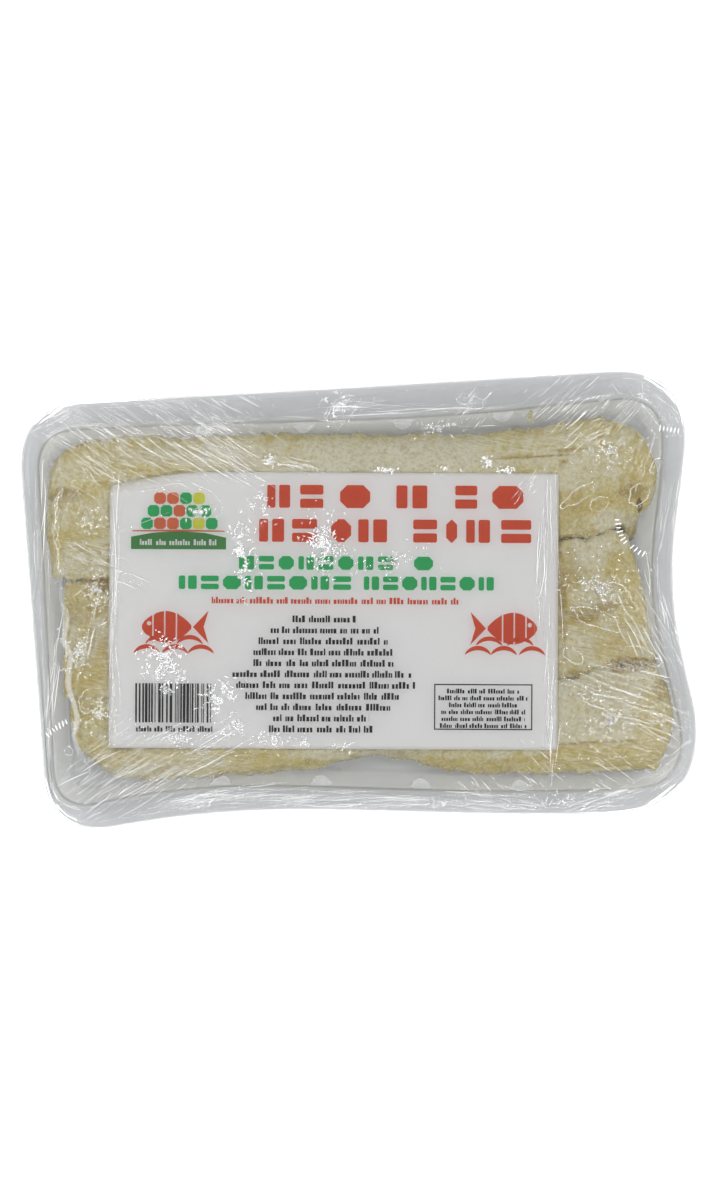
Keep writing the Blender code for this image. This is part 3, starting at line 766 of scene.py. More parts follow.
def past_bend(u, v):
    """How far a place on the flat label lies past the line where its corner bends down."""
    return max(0.0, u * BEND_NORMAL[0] + v * BEND_NORMAL[1] - BEND_START)


def bend(past):
    """How far out and how far down that length of paper gets round the bend."""
    angle = min(past / BEND_RADIUS, math.pi / 2)
    return BEND_RADIUS * math.sin(angle), BEND_RADIUS * (1 - math.cos(angle)) + past - angle * BEND_RADIUS


def on_label(u, v, lift):
    """A place on the label, from its own width and height, lifted off its underside."""
    past = past_bend(u, v)
    reach, drop = bend(past)
    z = LABEL_UNDERSIDE + lift + 0.1 * math.sin(u * 0.05) * math.sin(v * 0.06 + 1.0) - drop
    u += BEND_NORMAL[0] * (reach - past)
    v += BEND_NORMAL[1] * (reach - past)
    c, s = math.cos(LABEL_TURN), math.sin(LABEL_TURN)
    return LABEL_CENTRE[0] + u * c - v * s, LABEL_CENTRE[1] + u * s + v * c, z


def make_label(finish):
    """The paper sheet, a little over its underside, with its real thickness."""
    columns, rows = 110, 70
    points = [
        on_label((i / columns - 0.5) * LABEL_SIZE[0], (j / rows - 0.5) * LABEL_SIZE[1], 0.1)
        for j in range(rows + 1)
        for i in range(columns + 1)
    ]
    label = make_object("label_sheet", points, grid_faces(rows + 1, columns + 1), finish)
    sheet = label.modifiers.new("paper", "SOLIDIFY")
    sheet.thickness = 0.14 * MM
    sheet.offset = 1.0
    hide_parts("label")


class Print:
    """Plain shapes for one colour of ink, drawn flat and then laid on the label."""

    def __init__(self):
        self.bm = bmesh.new()

    def shape(self, points):
        self.bm.faces.new([self.bm.verts.new((u, v, 0.0)) for u, v in points])

    def block(self, u0, v0, u1, v1, cut=0.0):
        """A rectangle with its corners cut off."""
        cut = min(cut, (u1 - u0) * 0.45, (v1 - v0) * 0.45)
        if cut <= 0:
            self.shape([(u0, v0), (u1, v0), (u1, v1), (u0, v1)])
            return
        self.shape([(u0 + cut, v0), (u1 - cut, v0), (u1, v0 + cut), (u1, v1 - cut),
                    (u1 - cut, v1), (u0 + cut, v1), (u0, v1 - cut), (u0, v0 + cut)])

    def disc(self, u, v, ru, rv=None, start=0.0, stop=360.0, steps=36):
        angles = np.radians(np.linspace(start, stop, steps + 1))[: steps if stop - start >= 360 else None]
        self.shape([(u + ru * math.cos(a), v + (rv or ru) * math.sin(a)) for a in angles])

    def lay(self, name, finish, lift):
        """Cuts the shapes into small pieces, so that they follow the paper, and lays them on it."""
        for k in range(-15, 16):
            for place, normal in (((k * 5.2, 0, 0), (1, 0, 0)), ((0, k * 5.2, 0), (0, 1, 0))):
                geometry = self.bm.verts[:] + self.bm.edges[:] + self.bm.faces[:]
                bmesh.ops.bisect_plane(self.bm, geom=geometry, plane_co=place, plane_no=normal)
        self.bm.verts.index_update()
        points = [on_label(vert.co.x, vert.co.y, lift) for vert in self.bm.verts]
        faces = [[vert.index for vert in face.verts] for face in self.bm.faces]
        self.bm.free()
        make_object(name, points, faces, finish)


def letter_blocks(ink, starts_and_ends, low, high):
    """A line of heading: a slit block where each letter would be."""
    for i, (start, end) in enumerate(starts_and_ends):
        wide, tall = end - start, high - low
        if i % 3 == 0:
            ink.block(start, low, start + wide * 0.36, high, 0.4)
            ink.block(start + wide * 0.52, low, end, high, 0.4)
        elif i % 3 == 1:
            ink.block(start, low, end, low + tall * 0.4, 0.4)
            ink.block(start, low + tall * 0.58, end, high, 0.4)
        else:
            ink.block(start, low, end, high, tall * 0.3)


def ticks(ink, dice, start, end, low, high):
    """A line of small print: upright ticks in word-length groups."""
    u = start
    left = dice.randint(3, 8)
    size = high - low
    while u < end:
        wide = size * dice.uniform(0.3, 0.62)
        tall = size * dice.choice([0.66, 0.7, 1.0])
        if left:
            ink.block(u, low, min(end, u + wide * 0.72), low + tall)
            left -= 1
        else:
            left = dice.randint(3, 8)
        u += wide


def arc_band(ink, u, v, inner, outer, start, stop, steps=16):
    """Part of a ring that tapers to both ends."""
    for a, b in zip(np.linspace(start, stop, steps + 1)[:-1], np.linspace(start, stop, steps + 1)[1:]):
        ring = []
        for degrees, side in ((a, 1), (b, 1), (b, -1), (a, -1)):
            share = math.sin(math.pi * (degrees - start) / (stop - start)) ** 0.6
            reach = (inner + outer) / 2 + side * (outer - inner) / 2 * max(0.12, share)
            turn = math.radians(degrees)
            ring.append((u + reach * math.cos(turn), v + reach * math.sin(turn)))
        ink.shape(ring)


def fish_sign(ink, u, v, facing):
    """A plain fish over two waves: a lens with slits for gill and scales, and a triangle for the tail."""
    nose, tail = 11.5, -6.5
    lift = 3.6
    along = np.linspace(0.02, 0.98, 14)
    half = [(nose + (tail - nose) * t, 5.4 * math.sin(math.pi * t) ** 0.8) for t in along]
    for low, high in ((0, 3), (3, 6), (6, 9), (9, 13)):
        part = half[low : high + 1]
        top = [(a - (0.5 if i == 0 else 0), b) for i, (a, b) in enumerate(part)]
        ink.shape([(u + facing * a, v + lift + b) for a, b in top + [(a, -b) for a, b in reversed(top)]])
    fin = ((tail - 0.2, 0), (tail - 5.5, 5.6), (tail - 3.8, 0), (tail - 5.5, -5.6))
    ink.shape([(u + facing * a, v + lift + b) for a, b in fin])
    for middle, low in ((-5.6, -5.2), (5.0, -5.2), (-0.6, -8.4), (9.0, -8.4), (-9.4, -8.4)):
        arc_band(ink, u + facing * middle, v + low, 4.6, 6.1, 35, 145)


def make_print(inks):
    """Headings, small print, two fish, a bar code, an address box, and a mound of tiles."""
    dice = random.Random(19)
    red, green, black, dark, yellow, orange, white = (Print() for _ in range(7))
    heading = [(-22.8, -15.0), (-11.6, -3.7), (2.0, 12.2), (21.1, 31.6), (41.1, 48.6), (53.7, 64.3)]
    letter_blocks(red, heading, 34.9, 42.7)
    heading = [(-25.5, -17), (-14.3, -5.8), (-1, 5.8), (8.2, 18), (26.9, 35), (38.1, 41.8), (44.9, 53),
               (56.8, 67)]
    letter_blocks(red, heading, 23.3, 31.1)
    heading = [(-32.3 + 6.75 * i, -27.1 + 6.75 * i) for i in range(8)] + [(27.2, 33.7)]
    letter_blocks(green, heading, 13.9, 18.5)
    letter_blocks(green, [(-52.7 + 7.5 * i, -46.6 + 7.5 * i) for i in range(8)], 7.1, 11.7)
    letter_blocks(green, [(10.2 + 6.5 * i, 15.4 + 6.5 * i) for i in range(7)], 7.1, 11.7)
    ticks(red, dice, -41.5, 43.5, 2.3, 4.5)
    rows = [(-14, 7.5), (-21.4, 15.3), (-25.5, 18.4), (-27.2, 20), (-27.2, 20.4), (-34.3, 26.5), (-33, 27.9),
            (-29.9, 22.8), (-26.2, 19.4), (-20.4, 12.2), (-21.8, 13.6)]
    for i, (start, end) in enumerate(rows):
        middle = -2.9 - 3.74 * i
        ticks(black, dice, start, end, middle - 1.1, middle + 1.2)
    for facing, u in ((-1, -54.5), (1, 58.5)):
        fish_sign(red, u, -9.4, facing)
        white.disc(u + facing * 8.2, -4.6, 0.75)
    u = -67.3
    while u < -41.2:
        wide = dice.choice([0.3, 0.3, 0.6, 0.9])
        black.block(u, -38.3, u + wide, -25.0)
        u += wide + dice.choice([0.3, 0.3, 0.6, 0.9])
    ticks(black, dice, -67.0, -41.0, -41.4, -39.5)
    for low in (-40.3, -25.1):
        black.block(34.3, low, 67.7, low + 0.4)
    for start in (34.3, 67.3):
        black.block(start, -39.9, start + 0.4, -25.1)
    for i in range(6):
        half = dice.uniform(11, 15.4)
        ticks(black, dice, 51 - half, 51 + half, -27.9 - 2.35 * i, -26.3 - 2.35 * i)
    mound_top = [(-36.7, 24.6), (-44, 26.2), (-52.8, 26.8), (-61.6, 26.2), (-69, 24.8)]
    dark.shape([(-69, 20.6), (-36.7, 20.6), *mound_top])
    ticks(white, dice, -66, -40, 22.0, 24.0)
    tiles = [green, yellow, orange]
    for j in range(3):
        for i in range(6 - j):
            ink = tiles[(i + 2 * j + dice.randint(0, 1)) % 3]
            start = -65.6 + 4.4 * i + 2.2 * j
            ink.block(start, 27.4 + 4.3 * j, start + 4.0, 31.3 + 4.3 * j, 0.9)
    orange.shape([(-68.6, 26.6), (-37.2, 26.6), (-37.2, 27.0), (-52.8, 27.3), (-68.6, 27.0)])
    sheets = {
        "red": red, "green": green, "black": black, "dark_green": dark, "yellow": yellow, "orange": orange,
        "white": white,
    }
    for name, ink in sheets.items():
        ink.lay("print_" + name, inks[name], 0.32 if name == "white" else 0.29)


# Flesh


def split_depth(splits, x, y, width):
    """How deep the splits in the flesh are at each place."""
    depth = np.zeros_like(x)
    for start, end, deep in splits:
        start, along = np.array(start), np.subtract(end, start)
        wander = 1.1 * layers(x, y, 4.5, 13, 3)
        share = np.clip(((x - start[0]) * along[0] + (y - start[1]) * along[1]) / (along @ along), 0, 1)
        away = np.hypot(x - start[0] - share * along[0], y - start[1] - share * along[1] + wander)
        broken = steep(grain(x, y, 4.5, 29), -0.35, 0.25)
        depth = np.maximum(depth, deep * broken * np.exp(-((away / width) ** 2)))
    return depth


def flesh_ceiling(x, y):
    """How high the flesh may reach: under the label, under its bent corner, and under the bare film."""
    dx, dy = x - LABEL_CENTRE[0], y - LABEL_CENTRE[1]
    u = dx * math.cos(LABEL_TURN) + dy * math.sin(LABEL_TURN)
    v = dy * math.cos(LABEL_TURN) - dx * math.sin(LABEL_TURN)
    beyond = np.maximum(np.abs(u) - LABEL_SIZE[0] / 2, np.abs(v) - LABEL_SIZE[1] / 2)
    past = u * BEND_NORMAL[0] + v * BEND_NORMAL[1] - BEND_START
    level = 15.75 + 0.6 * steep(np.maximum(beyond, past - BEND_RADIUS), 0, 9)
    turned = np.clip(past / BEND_RADIUS, 0, 1)
    sunk = BEND_RADIUS * (1 - np.sqrt(1 - turned**2))
    below = (1 - steep(past, BEND_RADIUS + 0.1, BEND_RADIUS + 0.9)) * (1 - steep(beyond, 0.1, 0.9))
    return level - sunk * below


def flesh_colours(name, x, y, z, crust, relief, seed):
    """Colour at each point: cream flesh under a paler salt crust, yellow and brown where it has dried, with
    painted shade making the low places yellower and the deep hollows, splits and lower walls browner.
    """
    tones = {tone: np.array(linear(code)[:3]) for tone, code in FLESH_TONES.items()}
    colours = np.ones(x.shape + (1,)) * tones["cream"]

    def tint(tone, amount):
        share = np.clip(amount, 0, 1)[..., None]
        colours[:] = colours * (1 - share) + tones[tone] * share

    clump = layers(x + 0.5 * z, y + z, 3.4, seed + 71, 4, 0.8)
    tint("yellow", 0.3 + 0.8 * layers(x, y, 18, seed) + 0.8 * steep(-clump, 0.04, 0.3))
    tint("salt", 0.5 * crust + 0.65 * steep(clump, 0.05, 0.3))
    for tone, cx, cy, rx, ry, strength in STAINS[name]:
        away = ((x - cx) / (rx * 1.45)) ** 2 + ((y - cy) / (ry * 1.45 + 0.2)) ** 2
        ragged = away + (0.35 if tone == "dark" else 0.7) * layers(x, y, 2.6, seed + 15)
        tint(tone, strength * (1.0 if tone == "yellow" else 1.35) * steep(1.25 - ragged, 0, 0.8))
    fine = layers(x, y + z, 1.3, seed + 9, 3)
    tint("salt", 0.35 * steep(fine, 0.1, 0.34))
    tint("brown", 0.3 * steep(-clump, 0.24, 0.5) + 0.2 * steep(-fine, 0.3, 0.5))
    # Yellower in the low places of the relief: partly the flesh's own yellow under the crust, partly painted
    # shade.
    tint("yellow", 0.6 * steep(-relief, 0.1, 0.7))
    # Browner in the deepest hollows and splits: painted shade.
    tint("brown", 0.6 * steep(-relief, 0.75, 1.5))
    # Browner on the lower walls and low edges: painted shade.
    tint("brown", 0.5 * steep(-z, -9, -3))
    return colours


def fillet_top(form):
    """The upper side between both edges, by stations along the fillet and columns across it."""
    ends = np.linspace(0, 0.03, 12, endpoint=False)
    s = np.concatenate([ends, np.linspace(0.03, 0.97, STATIONS - 24, endpoint=False), 1 - ends[::-1]])
    near, far = smooth_through(form["near"], s)[:, None], smooth_through(form["far"], s)[:, None]
    s, t = s[:, None], np.linspace(0, 1, TOP_COLUMNS)[None, :]
    place = near * (1 - t[..., None]) + far * t[..., None]
    across = 1 - np.abs(2 * t - 1) ** 2.4
    x = place[..., 0] + across * (form["end_bulge"][1] * s**8 - form["end_bulge"][0] * (1 - s) ** 8)
    edge = form["edges"][0] * (1 - t) + form["edges"][1] * t
    crest = np.interp(s, *zip(*form["crest"]))
    loaf = (1 - np.abs(2 * t - 1) ** 3.2) ** 0.6
    closing = (1 - np.minimum(1, np.abs(2 * s - 1)) ** 40) ** 0.5
    z = edge + (crest - edge) * loaf
    z = np.where(z > 9, 9 + (z - 9) * closing, z)
    return s, np.stack([x, place[..., 1], z], -1)


def fillet_grid(form):
    """The whole fillet: its top, then round it the far wall, the bottom and the near wall."""
    s, top = fillet_top(form)
    end_taper = np.clip((np.abs(2 * s - 1) - 0.9) / 0.1, 0, 1) ** 3
    feet = []
    for column, inward in ((-1, -UNDERCUT), (0, UNDERCUT)):
        foot = top[:, column] + (0, inward, 0)
        foot[:, 2] = FILLET_BOTTOM
        if column == 0:
            middle, wide, reach = form["lobe"]
            foot[:, 1] -= (UNDERCUT + reach) * np.exp(-(((foot[:, 0] - middle) / wide) ** 4)) * (reach > 0)
        foot[:, 0] -= (np.sign(s - 0.5) * end_taper * 8.0)[:, 0]
        feet.append((top[:, column, None], foot[:, None]))
    drop = np.linspace(0, 1, SIDE_COLUMNS + 1)[None, 1:, None]
    bulge = 0.8 * np.sin(np.pi * drop) * np.array([0, 1, 0])
    (far_top, far_foot), (near_top, near_foot) = feet
    far_wall = far_top * (1 - drop) + far_foot * drop + bulge
    near_wall = near_top * (1 - drop) + near_foot * drop - bulge
    level = np.linspace(0, 1, BOTTOM_COLUMNS + 2)[None, 1:-1, None]
    bottom = far_foot * (1 - level) + near_foot * level
    return np.concatenate([top, far_wall, bottom, near_wall[:, ::-1]], axis=1)


def flesh_relief(form, grid):
    """How far the flesh stands out at each point, where it is crusted, and where it is in fibres."""
    seed = form["seed"]
    gx, gy, gz = grid[..., 0], grid[..., 1], grid[..., 2]
    px, py = gx + 0.8 * gz, gy + 1.3 * gz
    crust = steep(layers(px, py, 5.5, seed + 31, 5, 0.65), 0.02, 0.12)
    fibrous = np.zeros_like(gx)
    for cx, cy, rx, ry in form["fibres"]:
        fibrous = np.maximum(fibrous, steep(1.3 - ((gx - cx) / rx) ** 2 - ((gy - cy) / ry) ** 2, 0, 0.8))
    strands = 1 - 2 * np.abs(layers(px * 0.09, py * 0.75 + 0.1 * px, 1.0, seed + 27, 3))
    relief = 0.6 * layers(px, py, 8, seed + 3, 2) + 0.3 * crust - 0.15
    relief += 0.34 * (1 - 2 * np.abs(layers(px, py, 2.4, seed + 37, 2))) * (1 - 0.6 * fibrous)
    relief += 0.3 * layers(px, py, 3.4, seed + 71, 4, 0.8)
    relief += 0.2 * layers(px, py, 1.15, seed + 41, 2) + 0.4 * fibrous * (strands - 0.6)
    rim = np.ones(grid.shape[1])
    rim[:TOP_COLUMNS] = steep(np.abs(np.linspace(-1, 1, TOP_COLUMNS)), 0.86, 1.0)
    relief += rim * (0.5 * relief + 1.0 * layers(gx + gz, gy + gx * 0.4, 4.5, seed + 51, 3) - 0.15)
    below = TOP_COLUMNS + SIDE_COLUMNS
    relief[:, below : below + BOTTOM_COLUMNS] *= 0.2
    relief[:, :TOP_COLUMNS] -= split_depth(form["splits"], gx, gy, 0.55)[:, :TOP_COLUMNS]
    return crust, fibrous, relief


def make_fillet(name, form, finish):
    """One closed fillet. Its relief is pushed out square to the plain shape and held under the ceiling."""
    plain = fillet_grid(form)
    crust, fibrous, relief = flesh_relief(form, plain)
    normal = np.cross(np.gradient(plain, axis=0), np.roll(plain, -1, 1) - np.roll(plain, 1, 1))
    normal /= np.maximum(1e-9, np.linalg.norm(normal, axis=-1, keepdims=True))
    limit = np.full(plain.shape[1], 0.3)
    limit[:TOP_COLUMNS] = 1.0
    grid = plain + normal * np.minimum(relief, limit)[..., None]
    ceiling = flesh_ceiling(grid[..., 0], grid[..., 1])
    grid[..., 2] = ceiling - 0.3 * np.log1p(np.exp(np.clip((ceiling - grid[..., 2]) / 0.3, -30, 60)))
    grid[..., 2] = np.maximum(grid[..., 2], FILLET_BOTTOM - 0.1)
    rows, columns = grid.shape[:2]
    faces = grid_faces(rows, columns, wrap=True, turned=True)
    faces.append(list(reversed(range(columns))))
    faces.append([(rows - 1) * columns + i for i in range(columns)])
    flesh = make_object(name + "_flesh", grid.reshape(-1, 3), faces, finish)
    x, y, z = plain[..., 0], plain[..., 1], plain[..., 2]
    add_colours(flesh, "tone", flesh_colours(name, x, y, z, crust, relief, form["seed"]))
    add_values(flesh, "fibrous", fibrous)
    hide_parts(name)
    return grid[:, :TOP_COLUMNS]


def make_crumbs(tops, finish):
    """Salt crumbs: small rough blocks, half sunk in the flesh and thicker along its edges."""
    dice = np.random.default_rng(7)
    cube = np.array([[a, b, c] for a in (-1, 1) for b in (-1, 1) for c in (-1, 1)], float)
    sides = np.array([[0, 1, 3, 2], [4, 6, 7, 5], [0, 4, 5, 1], [2, 3, 7, 6], [0, 2, 6, 4], [1, 5, 7, 3]])
    places, sizes = [], []
    for top in tops:
        rows, columns = top.shape[:2]
        for count, rim in ((1300, False), (700, True)):
            down, over = dice.integers(0, rows, count), dice.integers(0, columns, count)
            if rim:
                near = dice.random(count) < 0.5
                first, last = dice.integers(0, 3, count), dice.integers(columns - 3, columns, count)
                over = np.where(near, first, last)
            places.append(top[down, over])
            sizes.append(dice.uniform(0.08, 0.26, count))
    flake = np.array(LOOSE_FLAKE) + dice.normal(0, 1, (60, 3)) * (0.5, 0.9, 0.2)
    places, sizes = np.vstack(places + [flake]), np.concatenate(sizes + [np.full(60, 0.3)])
    places[:, 2] = np.minimum(places[:, 2], flesh_ceiling(places[:, 0], places[:, 1]) - sizes * 0.4)
    a, b = dice.uniform(0, 6.3, (2, len(places), 1))
    corners = cube * dice.uniform(0.55, 1.1, (len(places), 8, 1)) * sizes[:, None, None]
    x, y, z = corners[..., 0], corners[..., 1], corners[..., 2]
    x, y = x * np.cos(a) - y * np.sin(a), x * np.sin(a) + y * np.cos(a)
    y, z = y * np.cos(b) - z * np.sin(b), y * np.sin(b) + z * np.cos(b)
    points = np.stack([x, y, z], -1) + places[:, None]
    faces = (sides[None] + 8 * np.arange(len(places))[:, None, None]).reshape(-1, 4).tolist()
    crumbs = make_object("salt_crumbs", points.reshape(-1, 3), faces, finish, smooth=False)
    share = np.repeat(dice.random((len(places), 1)), 8, 0)
    pale, warm = (np.array(linear(FLESH_TONES[tone])[:3]) for tone in ("salt", "cream"))
    add_colours(crumbs, "tone", pale * share + warm * (1 - share))


# Materials


def linear(code):
    """An sRGB hex colour as linear red, green, blue and alpha."""
    levels = [int(code[i : i + 2], 16) / 255 for i in (1, 3, 5)]
    return (*(c / 12.92 if c <= 0.04045 else ((c + 0.055) / 1.055) ** 2.4 for c in levels), 1.0)


def per_mm(size):
    """Texture scale for features of that size."""
    return 1 / (size * MM)


def new_material(name):
    made = bpy.data.materials.new(name)
    made.use_nodes = True
    made.node_tree.nodes.clear()
    return made.node_tree, made


def add(tree, kind, inputs=None, **settings):
    """A node with its settings, and its inputs as values or as (node, output) links."""
    made = tree.nodes.new(kind)
    for key, value in settings.items():
        setattr(made, key, value)
    for key, value in (inputs or {}).items():
        if isinstance(value, tuple) and isinstance(value[0], bpy.types.Node):
            tree.links.new(value[0].outputs[value[1]], made.inputs[key])
        else:
            made.inputs[key].default_value = value
    return made


def maths(tree, operation, first, second, third=0.0, clamp=False):
    values = {0: first, 1: second, 2: third}
    return add(tree, "ShaderNodeMath", values, operation=operation, use_clamp=clamp)


def ramp(tree, value, low, high, start=0.0, end=1.0):
    """A value's range from low to high drawn out from start to end, and held there outside it."""
    return add(tree, "ShaderNodeMapRange", {
        "Value": value, "From Min": low, "From Max": high, "To Min": start, "To Max": end,
    })


def mixed(tree, share, first, second, way="MIX"):
    """A mix of two colours, read from its output 2."""
    colours = {0: share, 6: first, 7: second}
    return add(tree, "ShaderNodeMix", colours, data_type="RGBA", blend_type=way)


def noise(tree, size, detail, roughness=0.5):
    """Noise with lumps of that size in mm, fixed to the piece."""
    where = add(tree, "ShaderNodeTexCoord")
    return add(tree, "ShaderNodeTexNoise", {
        "Vector": (where, "Object"), "Scale": per_mm(size), "Detail": detail, "Roughness": roughness,
    })


def finish_with(tree, shader):
    """The shader becomes the material's surface."""
    add(tree, "ShaderNodeOutputMaterial", {"Surface": (shader, 0)})


def film_material():
    """Stretch film: clear and glossy, milky where it is pulled and gathered, and whitened along its creases,
    loops and pleats as painted highlight.
    """
    tree, made = new_material("stretch_film")
    milk = add(tree, "ShaderNodeAttribute", attribute_name="milk")
    fine = noise(tree, 2.2, 2.0)
    bump = add(tree, "ShaderNodeBump", {"Height": (fine, 0), "Strength": 0.15, "Distance": 0.1 * MM})
    edge = add(tree, "ShaderNodeFresnel", {"IOR": 1.5, "Normal": (bump, 0)})
    shine = maths(tree, "MULTIPLY", (edge, 0), 2.0, clamp=True)
    clear = add(tree, "ShaderNodeBsdfTransparent", {"Color": (0.98, 0.98, 0.978, 1)})
    gloss = add(tree, "ShaderNodeBsdfPrincipled", {
        "Base Color": (1, 1, 1, 1), "Metallic": 1.0, "Roughness": 0.07, "Normal": (bump, 0),
    })
    glossy = add(tree, "ShaderNodeMixShader", {0: (shine, 0), 1: (clear, 0), 2: (gloss, 0)})
    # The white mixed in by the attribute is partly stretch haze and partly painted highlight.
    white_haze_and_highlight = add(tree, "ShaderNodeBsdfPrincipled", {
        "Base Color": linear("#F2F3F4"), "Roughness": 0.3, "Normal": (bump, 0),
    })
    haze_and_highlight_share = maths(tree, "ADD", (milk, "Fac"), 0.012, clamp=True)
    both = add(tree, "ShaderNodeMixShader", {0: (haze_and_highlight_share, 0), 1: (glossy, 0), 2: (white_haze_and_highlight, 0)})
    finish_with(tree, both)
    return made


def tray_material():
    """Clear thermoformed sheet: greyish, denser on the flange, with painted shade darkening its floor against
    its walls and along its bends, and painted light on its lugs.
    """
    tree, made = new_material("clear_tray_plastic")
    where = add(tree, "ShaderNodeTexCoord")
    place = add(tree, "ShaderNodeSeparateXYZ", {"Vector": (where, "Object")})
    rim = ramp(tree, (place, "Z"), 14.6 * MM, 15.6 * MM)
    # Painted shade: the floor is a little darker than the walls.
    low = ramp(tree, (place, "Z"), 1.5 * MM, 7.0 * MM)
    inside = mixed(tree, (low, 0), linear("#C6CACB"), linear("#C9CDCE"))
    tone = mixed(tree, (rim, 0), (inside, 2), linear("#BABDC0"))
    # The bend attribute paints shade along the bends and, where negative, painted light on the lugs.
    line = add(tree, "ShaderNodeAttribute", attribute_name="bend")
    dark = mixed(tree, (line, "Fac"), (tone, 2), linear("#86888A"))
    painted_lug_light = maths(tree, "MULTIPLY", (line, "Fac"), -1.0, clamp=True)
    colour = mixed(tree, (painted_lug_light, 0), (dark, 2), linear("#D8DADC"))
    facing = add(tree, "ShaderNodeLayerWeight", {"Blend": 0.5})
    dense = maths(tree, "POWER", (facing, "Facing"), 3.0)
    body = ramp(tree, (rim, 0), 0.0, 1.0, 0.5, 0.72)
    grazing = maths(tree, "MULTIPLY_ADD", (dense, 0), 0.06, (body, 0))
    share = maths(tree, "MULTIPLY_ADD", (line, "Fac"), 0.4, (grazing, 0), clamp=True)
    clear = add(tree, "ShaderNodeBsdfTransparent", {"Color": (0.95, 0.955, 0.96, 1)})
    sheet = add(tree, "ShaderNodeBsdfPrincipled", {
        "Base Color": (colour, 2), "Roughness": 0.2, "Specular IOR Level": 0.35,
    })
    both = add(tree, "ShaderNodeMixShader", {0: (share, 0), 1: (clear, 0), 2: (sheet, 0)})
    finish_with(tree, both)
    return made


def flesh_material():
    """Salted, dried fish: mottled cream flesh, crusted with fine salt grains, or in threads where it is
    fibrous."""
    tree, made = new_material("salted_flesh")
    tone = add(tree, "ShaderNodeAttribute", attribute_name="tone")
    fibrous = add(tree, "ShaderNodeAttribute", attribute_name="fibrous")
    where = add(tree, "ShaderNodeTexCoord")
    grains = add(tree, "ShaderNodeTexVoronoi", {"Vector": (where, "Object"), "Scale": per_mm(0.6)})
    specks = noise(tree, 1.2, 6.0, 0.78)
    crumbly = maths(tree, "MULTIPLY_ADD", (grains, "Distance"), -0.12, (specks, 0))
    drawn = add(tree, "ShaderNodeMapping", {
        "Vector": (where, "Object"), "Rotation": (0, 0, math.radians(-14)), "Scale": (14.0, 1.0, 1.0),
    }, vector_type="TEXTURE")
    strands = add(tree, "ShaderNodeTexNoise", {
        "Vector": (drawn, 0), "Scale": per_mm(0.5), "Detail": 3.0, "Roughness": 0.6,
    })
    thread = ramp(tree, (strands, 0), 0.35, 0.65, 0.26, 0.62)
    level = add(tree, "ShaderNodeMix", {0: (fibrous, "Fac"), 2: (crumbly, 0), 3: (thread, 0)})
    crust = ramp(tree, (level, 0), 0.47, 0.58, 0.0, 0.55)
    crusted = mixed(tree, (crust, 0), (tone, "Color"), linear("#E9E7D4"))
    # The pits of the fine grain are painted darker yellow: partly the flesh's own colour between the salt,
    # partly painted shade.
    dip = ramp(tree, (level, 0), 0.32, 0.44, 0.6, 0.0)
    pitted = mixed(tree, (dip, 0), (crusted, 2), linear("#C2B074"))
    bump = add(tree, "ShaderNodeBump", {"Height": (level, 0), "Strength": 0.7, "Distance": 0.4 * MM})
    shader = add(tree, "ShaderNodeBsdfPrincipled", {
        "Base Color": (pitted, 2), "Roughness": 0.6, "Specular IOR Level": 0.25, "Normal": (bump, 0),
        "Subsurface Weight": 0.12, "Subsurface Radius": (1.0, 0.8, 0.5), "Subsurface Scale": 0.8 * MM,
    })
    finish_with(tree, shader)
    return made


def printed_material(name, code, size, detail, shades, roughness, specular):
    """A matt colour that a fine noise makes a little lighter and darker."""
    tree, made = new_material(name)
    uneven = noise(tree, size, detail)
    shade = ramp(tree, (uneven, 0), 0.0, 1.0, *shades)
    colour = mixed(tree, 1.0, linear(code), (shade, 0), "MULTIPLY")
    shader = add(tree, "ShaderNodeBsdfPrincipled", {
        "Base Color": (colour, 2), "Roughness": roughness, "Specular IOR Level": specular,
    })
    finish_with(tree, shader)
    return made


def paper_material():
    """White label paper with a faint tooth."""
    return printed_material("label_paper", "#EEEEEE", 0.6, 2.0, (0.96, 1.0), 0.6, 0.2)


def ink_material(name, code):
    """Printing ink on the paper, a little uneven."""
    return printed_material("ink_" + name, code, 0.9, 3.0, (0.88, 1.08), 0.5, 0.15)


def floor_material():
    """A pale matt table."""
    tree, made = new_material("pale_floor")
    shader = add(tree, "ShaderNodeBsdfPrincipled", {
        "Base Color": linear("#F4F4F4"), "Roughness": 0.8,
        "Emission Color": (1, 1, 1, 1), "Emission Strength": 0.12,
    })
    finish_with(tree, shader)
    return made


# Stage


def make_floor():
    """A table top in metres, just below the pack."""
    mesh = bpy.data.meshes.new("floor")
    half, low = 2.0, -0.4 * MM
    corners = [(-half, -half, low), (half, -half, low), (half, half, low), (-half, half, low)]
    mesh.from_pydata(corners, [], [(0, 1, 2, 3)])
    mesh.materials.append(floor_material())
    floor = bpy.data.objects.new("floor", mesh)
    bpy.context.scene.collection.objects.link(floor)


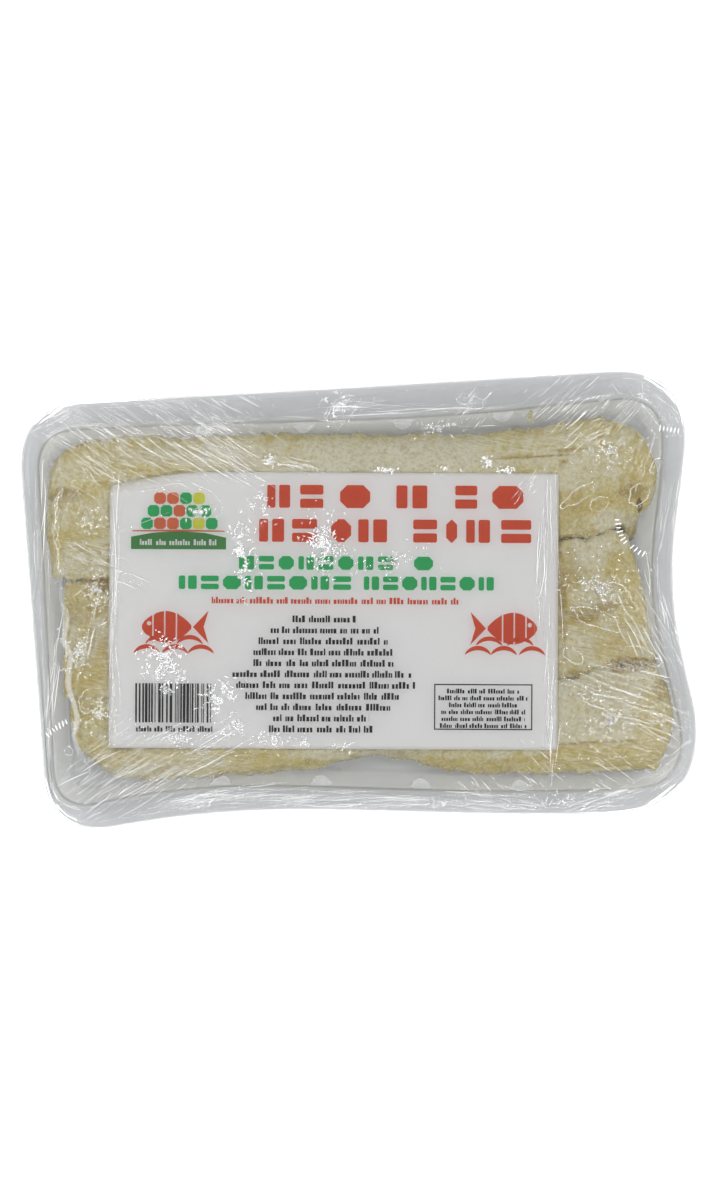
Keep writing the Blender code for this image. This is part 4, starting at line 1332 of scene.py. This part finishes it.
def softbox(name, bearing, tilt, distance, size, radiance):
    """A rectangular lamp at that bearing and angle off the vertical, turned to the pack."""
    lamp = bpy.data.lights.new(name, "AREA")
    lamp.shape = "RECTANGLE"
    lamp.size, lamp.size_y = size
    lamp.energy = radiance * size[0] * size[1] * math.pi
    obj = bpy.data.objects.new(name, lamp)
    a, b = math.radians(bearing), math.radians(tilt)
    obj.location = Vector((math.sin(b) * math.cos(a), math.sin(b) * math.sin(a), math.cos(b))) * distance
    obj.rotation_euler = obj.location.to_track_quat("Z", "Y").to_euler()
    bpy.context.scene.collection.objects.link(obj)


def light_and_camera():
    """Four large low lamps and four narrow high ones, a dim white room, and a camera straight above."""
    for i, bearing in enumerate((80, 170, 260, 350)):
        softbox(f"low_box_{i}", bearing, 48, 1.1, (0.5, 0.26), 11.6)
        softbox(f"high_box_{i}", bearing + 45, 24, 1.3, (0.34, 0.07), 30.0)
    world = bpy.data.worlds.new("studio")
    world.use_nodes = True
    world.node_tree.nodes["Background"].inputs["Color"].default_value = (1, 1, 1, 1)
    world.node_tree.nodes["Background"].inputs["Strength"].default_value = 0.14
    bpy.context.scene.world = world
    camera = bpy.data.cameras.new("camera")
    camera.sensor_fit = "VERTICAL"
    distance, label_height, half_view, sensor = 1.0, 0.016, 0.204, 36
    camera.sensor_height = sensor
    camera.lens = sensor / 2 / (half_view / (distance - label_height))
    obj = bpy.data.objects.new("camera", camera)
    obj.location = (-0.0001, 0.0015, distance)
    obj.rotation_euler = (0, 0, math.radians(-2.8))
    bpy.context.scene.collection.objects.link(obj)
    bpy.context.scene.camera = obj
    bpy.context.scene.view_settings.view_transform = "Standard"


def main():
    make_film(film_material())
    make_tray(tray_material())
    make_label(paper_material())
    inks = {
        "red": "#D24C24", "green": "#20AE60", "black": "#121112", "dark_green": "#438845",
        "yellow": "#D9D948", "orange": "#D96E43", "white": "#E8E8E8",
    }
    make_print({name: ink_material(name, code) for name, code in inks.items()})
    flesh = flesh_material()
    make_crumbs([make_fillet(name, form, flesh) for name, form in FILLETS.items()], flesh)
    make_floor()
    light_and_camera()


main()
